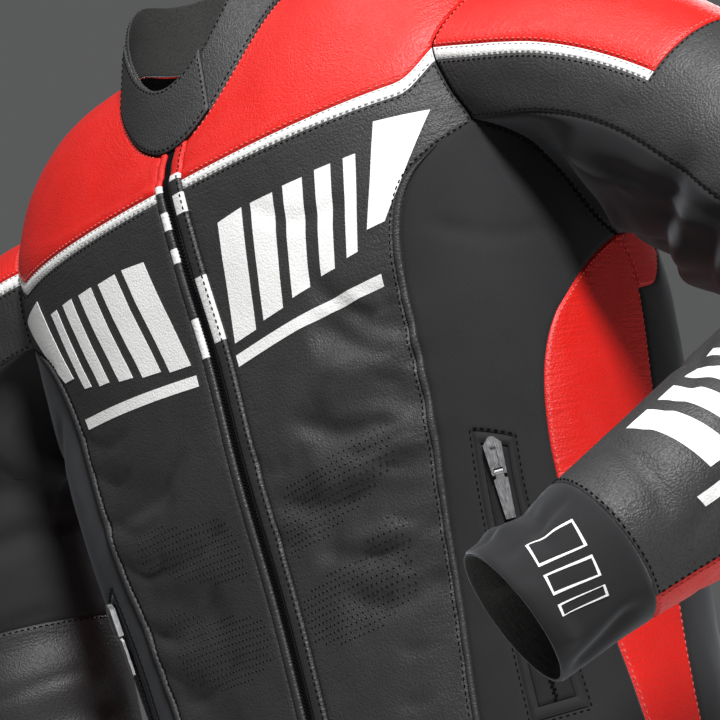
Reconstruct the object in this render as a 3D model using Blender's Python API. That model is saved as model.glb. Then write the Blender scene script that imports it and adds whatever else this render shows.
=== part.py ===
# Leather motorcycle jacket, worn shape without a wearer: open at the neck, the hem and both cuffs.
# Metres. The wearer's left is +X, the front is -Y, up is +Z.
# The origin is at the height of the neck, in the middle of the neck opening.
import math

import bmesh
import bpy
import numpy as np
from mathutils import Matrix, Vector

# Sewing sizes
SEAM_GAP = 0.0003       # slot left between two sewn pieces
LEATHER = 0.0018        # wall of the leather panels
STRETCH = 0.0015        # wall of the stretch fabric panels
STRIP = 0.0016          # wall of the white strips
RIB = 0.0026            # wall of the soft cuffs
WELT_RISE = 0.0012      # how far piping and facings stand out from their panels

# Front edge sizes
ZIP_HALF = 0.0035       # half of the open width between the facings
FACING_LEFT = 0.0090    # width of the flat facing on the wearer's left
FACING_RIGHT = 0.0055   # width of the narrow rolled facing on the wearer's right
WELT = 0.0040           # width of the piping beside the front panels

# Body of the garment: a row for each level, going up from the hem.
# along = distance up the cloth, then height, half width, depth to the front, depth to the back,
# squareness of the front, squareness of the back, fall at the front, rise at the back
TORSO = np.array((
    (0.000, -0.614, 0.182, 0.120, 0.117, 2.40, 2.60, 0.000, -0.020),
    (0.062, -0.552, 0.178, 0.117, 0.114, 2.40, 2.80, 0.000, -0.010),
    (0.146, -0.468, 0.181, 0.113, 0.115, 2.45, 3.00, 0.000, 0.000),
    (0.240, -0.374, 0.192, 0.109, 0.125, 2.50, 3.30, 0.000, 0.000),
    (0.322, -0.291, 0.202, 0.110, 0.137, 2.50, 3.70, 0.000, 0.000),
    (0.395, -0.218, 0.205, 0.107, 0.141, 2.50, 3.80, 0.000, 0.000),
    (0.447, -0.166, 0.204, 0.109, 0.136, 2.45, 3.30, 0.000, 0.000),
    (0.499, -0.115, 0.204, 0.108, 0.124, 2.40, 2.70, 0.000, 0.000),
    (0.546, -0.068, 0.199, 0.103, 0.108, 2.25, 2.25, 0.036, 0.000),
    (0.572, -0.040, 0.185, 0.100, 0.101, 2.10, 2.10, 0.058, 0.002),
    (0.598, -0.021, 0.163, 0.098, 0.095, 2.05, 2.05, 0.074, 0.004),
    (0.640, -0.004, 0.119, 0.095, 0.086, 2.00, 2.00, 0.087, 0.007),
    (0.671, 0.000, 0.074, 0.093, 0.077, 2.00, 2.00, 0.088, 0.010),
))

# Vertical seams: distance up the cloth, then bearing from straight ahead in degrees
PRINCESS = np.array((
    (0.000, 45.0), (0.062, 45.0), (0.146, 48.0), (0.205, 51.0), (0.255, 53.0), (0.300, 55.0),
    (0.341, 56.0), (0.371, 56.8), (0.400, 57.6), (0.418, 58.8), (0.436, 61.0), (0.450, 64.5),
    (0.460, 69.0), (0.468, 74.5),
))
LEAF_FRONT = np.array((
    (0.000, 80.0), (0.062, 79.0), (0.140, 77.0), (0.200, 74.0), (0.253, 72.2), (0.283, 72.5),
    (0.323, 75.0), (0.343, 78.0), (0.361, 83.5), (0.378, 90.5), (0.393, 99.5),
))
LEAF_BACK = np.array((
    (0.000, 92.0), (0.062, 92.0), (0.140, 94.0), (0.200, 96.0), (0.250, 98.0), (0.310, 99.5),
    (0.340, 101.0), (0.363, 101.8), (0.380, 101.3), (0.393, 99.5),
))
BACK_SEAM = np.array((
    (0.000, 122.0), (0.140, 124.0), (0.250, 125.0), (0.330, 124.0), (0.390, 121.0),
    (0.430, 117.0), (0.455, 113.0),
))

# Armhole, as bearing and distance up the cloth: the lower edge in front and behind the armpit,
# then a row of the grid at a time up the front edge and up the back edge to the shoulder
HOLE_FRONT_LOW = np.array((
    (74.5, 0.468), (80.0, 0.459), (86.0, 0.445), (91.0, 0.424), (95.5, 0.403), (99.5, 0.393),
))
HOLE_BACK_LOW = np.array((
    (99.5, 0.393), (103.6, 0.396), (108.5, 0.418), (113.0, 0.455),
))
HOLE_FRONT_HIGH = (
    (74.5, 0.468), (72.6, 0.490), (72.0, 0.512), (72.3, 0.523), (75.0, 0.536), (81.5, 0.548),
    (90.0, 0.556),
)
HOLE_BACK_HIGH = (
    (113.0, 0.455), (114.0, 0.471), (113.4, 0.488), (112.4, 0.496), (108.5, 0.520),
    (101.0, 0.545), (90.0, 0.556),
)

# Levels of the grid's rows, as distance up the cloth
LOW_ROWS = (
    0.000, 0.022, 0.045, 0.075, 0.104, 0.128, 0.135, 0.160, 0.186, 0.212, 0.238, 0.264, 0.290,
    0.297, 0.318, 0.342, 0.366, 0.390, 0.412, 0.431, 0.446, 0.458, 0.468,
)
HIGH_ROWS_FRONT = (0.468, 0.482, 0.4940, 0.5040, 0.519, 0.537, 0.556)
HIGH_ROWS_BACK = (0.455, 0.471, 0.488, 0.496, 0.518, 0.537, 0.556)
NECK_ROWS = (0.556, 0.575, 0.594, 0.613, 0.632, 0.651, 0.671)
WAIST_ROW = 2           # top of the waistband
POCKET_ROWS = (5, 6, 12, 13)
ARM_ROW = len(LOW_ROWS) - 1
PIPING_END = ARM_ROW - 1
STRIP_ROW = ARM_ROW + 2
YOKE_ROW = ARM_ROW + 3
SHOULDER_ROW = ARM_ROW + len(HIGH_ROWS_FRONT) - 1
NECK_ROW = SHOULDER_ROW + len(NECK_ROWS) - 1

# Places of the columns within each part of the round, as shares of its width
FRONT_SHARES = (0.0, 0.15, 0.30, 0.45, 0.60, 0.75, 0.88, 1.0)
SIDE_SHARES = (0.0, 0.18, 0.33, 0.38, 0.62, 0.67, 0.84, 1.0)
LEAF_SHARES = (0.0, 0.33, 0.67, 1.0)
BACK_SIDE_SHARES = (0.0, 0.33, 0.67, 1.0)
BACK_SHARES = (0.0, 0.14, 0.28, 0.43, 0.57, 0.71, 0.86, 1.0)

# Sleeves: distance along the arm, half height, half depth
SLEEVE = np.array((
    (0.000, 0.0790, 0.0610), (0.060, 0.0760, 0.0640), (0.120, 0.0680, 0.0630),
    (0.200, 0.0660, 0.0640), (0.280, 0.0660, 0.0640), (0.340, 0.0640, 0.0620),
    (0.400, 0.0570, 0.0560), (0.460, 0.0495, 0.0485), (0.518, 0.0430, 0.0420),
    (0.600, 0.0405, 0.0395),
))
SLEEVE_ROWS = (
    0.000, 0.014, 0.030, 0.047, 0.064, 0.082, 0.101, 0.123, 0.147, 0.171, 0.195, 0.219, 0.243,
    0.267, 0.291, 0.315, 0.339, 0.364, 0.389, 0.414, 0.440, 0.466, 0.492, 0.518, 0.537, 0.556,
    0.575,
)
CAP_ROW, ELBOW_ROW, WRIST_ROW = 7, 12, 23
STRIP_COLUMN = 9        # the strip's column round the sleeve, kept narrower than the others
SETTLE = 0.110          # length over which the armhole's shape turns into the sleeve's

# Seams of the sleeve, as columns counted from the armpit forward and round
SLEEVE_SEAMS = (7, 9, 10, 16, 19, 22)
FOREARM_SEAMS = (16, 21)
STRAP_ROW = ARM_ROW - 3

# Collar
COLLAR_ROWS = (0.0, 0.012, 0.024, 0.035, 0.044)
COLLAR_UP, COLLAR_IN = 0.955, 0.296
TAB_COLUMNS = (3, 5)    # how far the tab reaches to the wearer's left and right
TAB_LIFT = 0.0004

# Pocket slider and pull tab
SLIDER_LEVEL = 0.2760
SLIDER_WIDE, SLIDER_LONG = 0.0105, 0.0220
SLIDER_LOW, SLIDER_HIGH = 0.0008, 0.0042
SLOT_HALF = 0.0016
PIN_RADIUS, PLAY = 0.0007, 0.0003
EYE_HALF = 0.0024
PULL_WIDE, PULL_NARROW, PULL_LONG, PULL_THICK = 0.0080, 0.0056, 0.0270, 0.0016

# Corners of each arm's path past the armhole, seen as on the wearer's left: x, y, z, bend radius
BENT_ARM = (
    (0.284, -0.006, -0.170, 0.160), (0.404, -0.004, -0.344, 0.080), (0.294, -0.201, -0.429, 0.120),
    (0.244, -0.256, -0.458, 0.0),
)
HANGING_ARM = (
    (0.304, -0.004, -0.140, 0.105), (0.314, -0.010, -0.440, 0.250), (0.288, -0.095, -0.690, 0.0),
)

# Soft folds pressed into the body: side (1 the wearer's left, -1 the right), then bearing and
# distance up the cloth at both ends, depth (negative stands out) and half width
BODY_FOLDS = (
    (1, 57.0, 0.385, 33.0, 0.372, 0.0034, 0.012),
    (1, 57.0, 0.358, 30.0, 0.338, -0.0026, 0.012),
    (1, 56.0, 0.336, 24.0, 0.318, 0.0038, 0.013),
    (1, 55.0, 0.306, 22.0, 0.296, -0.0028, 0.013),
    (1, 55.0, 0.282, 18.0, 0.268, 0.0030, 0.014),
    (1, 53.0, 0.232, 20.0, 0.208, 0.0026, 0.015),
    (-1, 55.0, 0.352, 28.0, 0.322, 0.0030, 0.014),
    (-1, 54.0, 0.286, 20.0, 0.240, 0.0034, 0.015),
    (-1, 50.0, 0.226, 26.0, 0.170, 0.0026, 0.015),
    (1, 128.0, 0.330, 160.0, 0.300, 0.0034, 0.016),
    (-1, 130.0, 0.300, 165.0, 0.276, 0.0032, 0.016),
    (1, 126.0, 0.250, 158.0, 0.232, 0.0030, 0.016),
    (-1, 124.0, 0.226, 150.0, 0.190, 0.0030, 0.016),
)

# Soft folds of the sleeves: hand, then distance along the arm and column round it at both ends,
# depth and half width
SLEEVE_FOLDS = (
    ("left", 0.232, 1.0, 0.262, 9.0, 0.0060, 0.013),
    ("left", 0.272, 1.5, 0.292, 10.0, 0.0070, 0.013),
    ("left", 0.320, 2.0, 0.324, 9.0, 0.0055, 0.013),
    ("left", 0.080, 3.0, 0.200, 5.5, 0.0050, 0.013),
    ("left", 0.110, 20.0, 0.215, 17.0, 0.0045, 0.014),
    ("left", 0.420, 11.0, 0.450, 19.0, 0.0026, 0.013),
    ("right", 0.250, 2.0, 0.262, 10.0, 0.0050, 0.014),
    ("right", 0.300, 1.0, 0.318, 8.0, 0.0056, 0.014),
    ("right", 0.352, 3.0, 0.372, 10.0, 0.0044, 0.014),
    ("right", 0.100, 4.0, 0.190, 6.0, 0.0044, 0.014),
    ("right", 0.120, 18.0, 0.210, 20.0, 0.0046, 0.014),
    ("right", 0.440, 6.0, 0.462, 14.0, 0.0030, 0.014),
)


def smooth(x):
    """A soft step from 0 to 1."""
    x = np.clip(x, 0.0, 1.0)
    return x * x * (3.0 - 2.0 * x)


def curve(table, column, x):
    """A smooth line through one column of a table, at x of its first column."""
    xs, ys = table[:, 0], table[:, column]
    slope = np.gradient(ys, xs)
    i = np.clip(np.searchsorted(xs, x) - 1, 0, len(xs) - 2)
    h = xs[i + 1] - xs[i]
    s = (x - xs[i]) / h
    return ((2 * s ** 3 - 3 * s ** 2 + 1) * ys[i] + (s ** 3 - 2 * s ** 2 + s) * h * slope[i]
            + (3 * s ** 2 - 2 * s ** 3) * ys[i + 1] + (s ** 3 - s ** 2) * h * slope[i + 1])


def torso(bearing, along):
    """A point of the garment's outer face. Bearing 0 is the front, 90 the wearer's left."""
    height, wide, front, back, n_front, n_back, fall, rise = (
        float(curve(TORSO, column, along)) for column in range(1, 9))
    side = math.sin(math.radians(bearing))
    ahead = math.cos(math.radians(bearing))
    deep = front if ahead > 0 else back
    power = n_front if ahead > 0 else n_back
    reach = (abs(side / wide) ** power + abs(ahead / deep) ** power) ** (-1.0 / power)
    x, y = reach * side, -reach * ahead
    share = (y / deep) ** 2
    return np.array((x, y, height + (-fall if ahead > 0 else rise) * share))


def bearing_at(x, along):
    """Bearing of the front point that lies x to the side of the middle."""
    low, high = 0.0, 60.0
    for _ in range(30):
        middle = (low + high) / 2
        if torso(middle, along)[0] < x:
            low = middle
        else:
            high = middle
    return high


def level(row, top):
    """Distance up the cloth of a low row, in a column whose top end lies at the given level."""
    plain = LOW_ROWS[row]
    return plain + (top - LOW_ROWS[-1]) * smooth((plain - 0.200) / 0.268)


def low_point(row, seam_a, seam_b, share, top_a, top_b, hole=None):
    """A point between two seams, below the armhole."""
    if hole is not None:
        bearing = hole[0, 0] + share * (hole[-1, 0] - hole[0, 0])
        top = float(curve(hole, 1, bearing))
    else:
        top = top_a + share * (top_b - top_a)
    bearing_a = seam_bearing(seam_a, level(row, top_a))
    bearing_b = seam_bearing(seam_b, level(row, top_b))
    return torso(bearing_a + share * (bearing_b - bearing_a), level(row, top))


def seam_bearing(seam, along):
    """Bearing of a vertical seam at a level. A number stands for a straight seam."""
    if isinstance(seam, float):
        return seam
    return float(curve(seam, 1, along))


def front_stations(along, edge, facing):
    """Bearings of the front's columns, from the middle of the zip to the given outer edge."""
    zip_edge = bearing_at(ZIP_HALF, along)
    facing_edge = bearing_at(ZIP_HALF + facing, along)
    return [0.0, zip_edge] + [facing_edge + share * (edge - facing_edge) for share in FRONT_SHARES]


def front_grid(facing):
    """Front half, a list of points for each row from the hem to the neck."""
    rows = []
    for row, along in enumerate(LOW_ROWS):
        edge = seam_bearing(PRINCESS, along)
        if row < PIPING_END:
            edge -= math.degrees(WELT / 0.165)
        rows.append([torso(bearing, along) for bearing in front_stations(along, edge, facing)])
    for row, (inner, (edge, outer)) in enumerate(zip(HIGH_ROWS_FRONT, HOLE_FRONT_HIGH)):
        if row == 0:
            continue
        stations = front_stations(inner, edge, facing)
        peaked = ARM_ROW + row in (STRIP_ROW, YOKE_ROW)
        shares = [0.0, 0.0] + [max(0.0, (share - 0.88) / 0.12) if peaked
                               else float(smooth((share - 0.30) / 0.70))
                               for share in FRONT_SHARES]
        rows.append([torso(bearing, inner + share * (outer - inner))
                     for bearing, share in zip(stations, shares)])
    for along in NECK_ROWS[1:]:
        rows.append([torso(bearing, along) for bearing in front_stations(along, 90.0, facing)])
    return rows


def back_grid():
    """Back half, from the back seam or armhole to the middle of the back."""
    rows = []
    for row in range(ARM_ROW + 1):
        rows.append([low_point(row, BACK_SEAM, 180.0, share, HIGH_ROWS_BACK[0], HIGH_ROWS_BACK[0])
                     for share in BACK_SHARES])
    for inner, (edge, outer) in list(zip(HIGH_ROWS_BACK, HOLE_BACK_HIGH))[1:]:
        rows.append([torso(edge + share * (180.0 - edge),
                           inner + (outer - inner) * (1.0 - float(smooth(share / 0.4))))
                     for share in BACK_SHARES])
    for along in NECK_ROWS[1:]:
        rows.append([torso(90.0 + share * 90.0, along) for share in BACK_SHARES])
    return rows


def side_grids():
    """The parts below the armhole: piping, front side, leaf and back side."""
    front_top, tip, back_top = LOW_ROWS[-1], HOLE_FRONT_LOW[-1, 1], HIGH_ROWS_BACK[0]
    rows = range(ARM_ROW + 1)
    side = [[low_point(row, PRINCESS, LEAF_FRONT, share, front_top, tip, HOLE_FRONT_LOW)
             for share in SIDE_SHARES] for row in rows]
    leaf = [[low_point(row, LEAF_FRONT, LEAF_BACK, share, tip, tip) for share in LEAF_SHARES]
            for row in rows]
    behind = [[low_point(row, LEAF_BACK, BACK_SEAM, share, tip, back_top, HOLE_BACK_LOW)
               for share in BACK_SIDE_SHARES] for row in rows]
    return side, leaf, behind


def armhole(front, back, side, behind):
    """Points round the armhole: from the armpit forward, over the shoulder and down the back."""
    loop = list(reversed(side[ARM_ROW]))
    loop += [row[-1] for row in front[ARM_ROW + 1:SHOULDER_ROW + 1]]
    loop += [row[0] for row in reversed(back[ARM_ROW:SHOULDER_ROW])]
    loop += list(reversed(behind[ARM_ROW][:-1]))
    return loop[:-1]


def rounded_path(start, corners, step=0.002):
    """Closely spaced points of a path whose corners are rounded by arcs."""
    stops = [np.array(start)] + [np.array(corner[:3]) for corner in corners]
    points = [stops[0]]
    for before, here, after, radius in zip(stops, stops[1:], stops[2:], [c[3] for c in corners]):
        come = (here - before) / np.linalg.norm(here - before)
        leave = (after - here) / np.linalg.norm(after - here)
        turn = math.acos(float(np.clip(come @ leave, -1.0, 1.0)))
        reach = radius * math.tan(turn / 2)
        first = here - come * reach
        toward = leave - come * (come @ leave)
        toward /= np.linalg.norm(toward)
        centre = first + toward * radius
        count = max(2, int(radius * turn / step))
        for k in range(count + 1):
            angle = turn * k / count
            points.append(centre - toward * radius * math.cos(angle) + come * radius * math.sin(angle))
    points.append(stops[-1])
    dense = [points[0]]
    for a, b in zip(points, points[1:]):
        count = max(1, int(np.linalg.norm(b - a) / step))
        dense += [a + (b - a) * (k + 1) / count for k in range(count)]
    return np.array(dense)


def sleeve_grid(loop, corners):
    """Rings of a sleeve. The first ring is the armhole itself."""
    loop = np.array(loop)
    start = (loop.max(axis=0) + loop.min(axis=0)) / 2
    path = rounded_path(start, corners)
    lengths = np.concatenate(([0.0], np.cumsum(np.linalg.norm(np.diff(path, axis=0), axis=1))))
    tangents = np.gradient(path, axis=0)
    tangents /= np.linalg.norm(tangents, axis=1)[:, None]
    ups = [np.array((0.0, 0.0, 1.0))]
    for tangent in tangents:
        up = ups[-1] - tangent * (ups[-1] @ tangent)
        ups.append(up / np.linalg.norm(up))
    ups = np.array(ups[1:])
    ahead = np.cross(tangents, ups)
    heights = (loop - start) @ ups[0]
    depths = (loop - start) @ ahead[0]
    angles = np.unwrap(np.arctan2(depths / SLEEVE[0, 2], heights / SLEEVE[0, 1]))
    shares = np.ones(len(loop))
    shares[STRIP_COLUMN] = 0.35
    even = np.concatenate(([0.0], np.cumsum(shares)[:-1])) / shares.sum() * 2 * math.pi
    even *= np.sign(angles[-1] - angles[0])
    even += np.mean(angles - even)
    rings = []
    for distance in SLEEVE_ROWS:
        i = int(np.argmin(abs(lengths - distance)))
        high = float(curve(SLEEVE, 1, distance))
        deep = float(curve(SLEEVE, 2, distance))
        turned = angles + (even - angles) * float(smooth(distance / 0.25))
        ring = (path[i] + high * np.cos(turned)[:, None] * ups[i]
                + deep * np.sin(turned)[:, None] * ahead[i])
        axes = np.array((tangents[i], ups[i], ahead[i]))
        if distance == 0.0:
            misfit = (loop - ring) @ axes.T
        ring = ring + (misfit @ axes) * (1.0 - float(smooth(distance / SETTLE)))
        rings.append(ring)
    return [list(ring) + [ring[0]] for ring in rings]


class Garment:
    """The outer face of the whole garment, welded at the seams, and the cells of each piece."""

    def __init__(self):
        self.points = []
        self.numbers = {}
        self.pieces = {}

    def number(self, point):
        key = tuple(int(round(value * 1e6)) for value in point)
        if key not in self.numbers:
            self.numbers[key] = len(self.points)
            self.points.append(np.array(point, dtype=float))
        return self.numbers[key]

    def add(self, piece, rows, first_row, last_row, first_column, last_column, turned):
        """Give a piece the cells of a grid between two rows and two columns."""
        cells = self.pieces.setdefault(piece, [])
        for i in range(first_row, last_row):
            for j in range(first_column, last_column):
                corners = [rows[i][j], rows[i][j + 1], rows[i + 1][j + 1], rows[i + 1][j]]
                numbers = [self.number(corner) for corner in corners]
                for trio in ((0, 1, 2), (0, 2, 3)):
                    face = [numbers[k] for k in trio]
                    if len(set(face)) == 3:
                        cells.append(face[::-1] if turned else face)

    def normals(self):
        """Directions out of the cloth at every point, shared by the pieces that meet there."""
        total = np.zeros((len(self.points), 3))
        for cells in self.pieces.values():
            for face in cells:
                a, b, c = (self.points[k] for k in face)
                total[face] += np.cross(b - a, c - a)
        return total / np.linalg.norm(total, axis=1)[:, None]

    def over(self, piece, rows, first_row, last_row, first_column, last_column, turned):
        """Cells of a piece that lies on another one. They use that one's own points."""
        self.add(piece, rows, first_row, last_row, first_column, last_column, turned)
        return self.pieces.pop(piece)


def edges_of(cells):
    """Directed edges that only one face of a piece uses, with that face."""
    found = {}
    for face in cells:
        for a, b in zip(face, face[1:] + face[:1]):
            found[(a, b)] = face
    return {edge: face for edge, face in found.items() if (edge[1], edge[0]) not in found}


def trimmed(points, cells):
    """Points of a piece, its edge drawn in by half of the seam's gap."""
    inward = {}
    for (a, b), face in edges_of(cells).items():
        p, q, r = (points[k] for k in face)
        normal = np.cross(q - p, r - p)
        direction = np.cross(normal, points[b] - points[a])
        direction /= np.linalg.norm(direction)
        inward.setdefault(a, []).append(direction)
        inward.setdefault(b, []).append(direction)
    used = sorted({k for face in cells for k in face})
    places = {}
    for k in used:
        move = np.zeros(3)
        if k in inward:
            total = sum(inward[k])
            share = max(float(total @ total) / len(inward[k]), 0.02)
            move = total * (SEAM_GAP / 2) / share
        places[k] = points[k] + move
    return places


def cloth(name, cells, points, normals, wall, rise, material, lift=0.0):
    """A closed sheet of cloth. Rise is how far its face stands out; lift leaves a slot below it."""
    places = trimmed(points, cells)
    order = {k: n for n, k in enumerate(places)}
    count = len(order)
    outer = [places[k] + normals[k] * (lift + wall if lift else rise) for k in order]
    inner = [places[k] + normals[k] * (lift if lift else rise - wall) for k in order]
    faces = [[order[k] for k in face] for face in cells]
    faces += [[order[k] + count for k in reversed(face)] for face in cells]
    for a, b in edges_of(cells):
        p, q, p_in, q_in = order[a], order[b], order[a] + count, order[b] + count
        if a < b:
            faces += [[q, p, q_in], [p, p_in, q_in]]
        else:
            faces += [[q, p, p_in], [q, p_in, q_in]]
    return solid(name, outer + inner, faces, material)


def solid(name, points, faces, material):
    mesh = bpy.data.meshes.new(name)
    mesh.from_pydata([tuple(point) for point in points], [], faces)
    mesh.materials.append(material)
    for polygon in mesh.polygons:
        polygon.use_smooth = True
    piece = bpy.data.objects.new(name, mesh)
    bpy.context.scene.collection.objects.link(piece)
    return piece


def paint(name, color, roughness, metallic=0.0):
    material = bpy.data.materials.new(name)
    material.use_nodes = True
    shader = material.node_tree.nodes["Principled BSDF"]
    shader.inputs["Base Color"].default_value = (*color, 1.0)
    shader.inputs["Roughness"].default_value = roughness
    shader.inputs["Metallic"].default_value = metallic
    material.diffuse_color = (*color, 1.0)
    return material


def mirrored(rows):
    return [[point * np.array((-1.0, 1.0, 1.0)) for point in row] for row in rows]


def collar_grid(front, back):
    """Stand-up collar from the middle of the front round to the middle of the back."""
    base = front[NECK_ROW] + back[NECK_ROW][1:]
    rows = []
    for height in COLLAR_ROWS:
        row = []
        for point in base:
            outward = np.array((point[0], point[1], 0.0))
            outward /= np.linalg.norm(outward)
            row.append(point + height * (COLLAR_UP * np.array((0.0, 0.0, 1.0)) - COLLAR_IN * outward))
        rows.append(row)
    return rows


def lay_out():
    """All sewn pieces as cells of one welded outer face, and the cells of the collar's tab."""
    back = back_grid()
    side, leaf, behind = side_grids()
    garment = Garment()
    collars, sleeves = {}, {}
    for hand in ("left", "right"):
        turn = hand == "right"
        front = front_grid(FACING_RIGHT if turn else FACING_LEFT)
        edge = len(front[0]) - 1
        loop = armhole(front, back, side, behind)
        flip = mirrored if turn else list
        front_half, back_half, side_part, leaf_part, behind_part = (
            flip(rows) for rows in (front, back, side, leaf, behind))
        piping = [[row[edge], below[0]] for row, below in zip(front_half, side_part)]

        for rows, last in ((front_half, edge), (piping, 1), (side_part, 7), (leaf_part, 3),
                           (behind_part, 3), (back_half, 7)):
            garment.add("waistband", rows, 0, WAIST_ROW, 2 if rows is front_half else 0, last, turn)
        garment.add("zip_tape", front_half, 0, NECK_ROW, 0, 1, turn)
        garment.add(f"zip_facing_{hand}", front_half, 0, NECK_ROW, 1, 2, turn)
        garment.add(f"front_panel_{hand}", front_half, WAIST_ROW, STRIP_ROW, 2, edge, turn)
        garment.add(f"yoke_strip_{hand}", front_half, STRIP_ROW, YOKE_ROW, 2, edge, turn)
        garment.add(f"front_yoke_{hand}", front_half, YOKE_ROW, NECK_ROW, 2, edge, turn)
        garment.add(f"front_piping_{hand}", piping, WAIST_ROW, PIPING_END, 0, 1, turn)

        first, low, high, last = POCKET_ROWS
        for rows in ((WAIST_ROW, first), (last, ARM_ROW)):
            garment.add(f"side_stretch_{hand}", side_part, *rows, 0, 7, turn)
        for columns in ((0, 2), (5, 7)):
            garment.add(f"side_stretch_{hand}", side_part, first, last, *columns, turn)
        for columns in ((2, 3), (4, 5)):
            garment.add(f"pocket_welt_{hand}", side_part, first, last, *columns, turn)
        for rows in ((first, low), (high, last)):
            garment.add(f"pocket_welt_{hand}", side_part, *rows, 3, 4, turn)
        garment.add(f"pocket_zip_{hand}", side_part, low, high, 3, 4, turn)

        garment.add(f"side_leaf_{hand}", leaf_part, WAIST_ROW, ARM_ROW, 0, 3, turn)
        garment.add(f"back_side_{hand}", behind_part, WAIST_ROW, STRAP_ROW, 0, 3, turn)
        garment.add(f"back_side_{hand}", behind_part, STRAP_ROW, ARM_ROW, 2, 3, turn)
        garment.add(f"underarm_strap_{hand}", behind_part, STRAP_ROW, ARM_ROW, 0, 2, turn)
        garment.add("back_panel", back_half, WAIST_ROW, YOKE_ROW, 0, 7, turn)
        garment.add("back_yoke", back_half, YOKE_ROW, NECK_ROW, 0, 7, turn)

        collar = collars[hand] = flip(collar_grid(front, back))
        garment.add("zip_tape", collar, 0, len(COLLAR_ROWS) - 1, 0, 1, turn)
        garment.add("collar", collar, 0, len(COLLAR_ROWS) - 1, 1, len(collar[0]) - 1, turn)
        sleeves[hand] = flip(sleeve_grid(loop, BENT_ARM if hand == "left" else HANGING_ARM))
        add_sleeve(garment, hand, sleeves[hand])

    last = len(COLLAR_ROWS) - 1
    tab = garment.over("tab", collars["left"], 0, last, 0, TAB_COLUMNS[0], False)
    tab += garment.over("tab", collars["right"], 0, last, 0, TAB_COLUMNS[1], True)
    return garment, tab, sleeves


def add_sleeve(garment, hand, rings):
    """The pieces of one sleeve, from the armhole to the cuff."""
    turn = hand == "left"
    end = len(SLEEVE_ROWS) - 1
    low, strip, cap, cap_back, back, round_ = SLEEVE_SEAMS
    garment.add(f"sleeve_stretch_{hand}", rings, 0, ELBOW_ROW, 0, low, turn)
    garment.add(f"sleeve_stretch_{hand}", rings, 0, ELBOW_ROW, back, round_, turn)
    garment.add(f"sleeve_cap_{hand}", rings, 0, CAP_ROW, cap, cap_back, turn)
    garment.add(f"sleeve_strip_{hand}", rings, 0, CAP_ROW, strip, cap, turn)
    garment.add(f"sleeve_outer_{hand}", rings, 0, CAP_ROW, low, strip, turn)
    garment.add(f"sleeve_outer_{hand}", rings, 0, CAP_ROW, cap_back, back, turn)
    garment.add(f"sleeve_outer_{hand}", rings, CAP_ROW, ELBOW_ROW, low, back, turn)
    first, last = FOREARM_SEAMS
    garment.add(f"forearm_under_{hand}", rings, ELBOW_ROW, WRIST_ROW, first, last, turn)
    garment.add(f"forearm_upper_{hand}", rings, ELBOW_ROW, WRIST_ROW, 0, first, turn)
    garment.add(f"forearm_upper_{hand}", rings, ELBOW_ROW, WRIST_ROW, last, round_, turn)
    garment.add(f"cuff_{hand}", rings, WRIST_ROW, end, 0, round_, turn)


def joined(base, other, operation):
    """The base piece after a solid operation with the other one, which is used up."""
    change = base.modifiers.new("shape", "BOOLEAN")
    change.operation = operation
    change.solver = "EXACT"
    change.object = other
    shaped = base.evaluated_get(bpy.context.evaluated_depsgraph_get())
    mesh = bpy.data.meshes.new_from_object(shaped)
    base.modifiers.clear()
    base.data = mesh
    bpy.data.objects.remove(other)
    return base


def slab(name, outline, low, high, material):
    """A plate with the given outline, between two heights."""
    count = len(outline)
    points = [(x, y, low) for x, y in outline] + [(x, y, high) for x, y in outline]
    faces = [list(range(count))[::-1], list(range(count, 2 * count))]
    faces += [[k, (k + 1) % count, (k + 1) % count + count, k + count] for k in range(count)]
    return solid(name, points, faces, material)


def rod(name, radius, half, y, z, material, sides=20):
    """A round rod across, along x."""
    points = []
    for x in (-half, half):
        for k in range(sides):
            angle = 2 * math.pi * k / sides
            points.append((x, y + radius * math.cos(angle), z + radius * math.sin(angle)))
    faces = [list(range(sides))[::-1], list(range(sides, 2 * sides))]
    faces += [[k, (k + 1) % sides, (k + 1) % sides + sides, k + sides] for k in range(sides)]
    return solid(name, points, faces, material)


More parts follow.
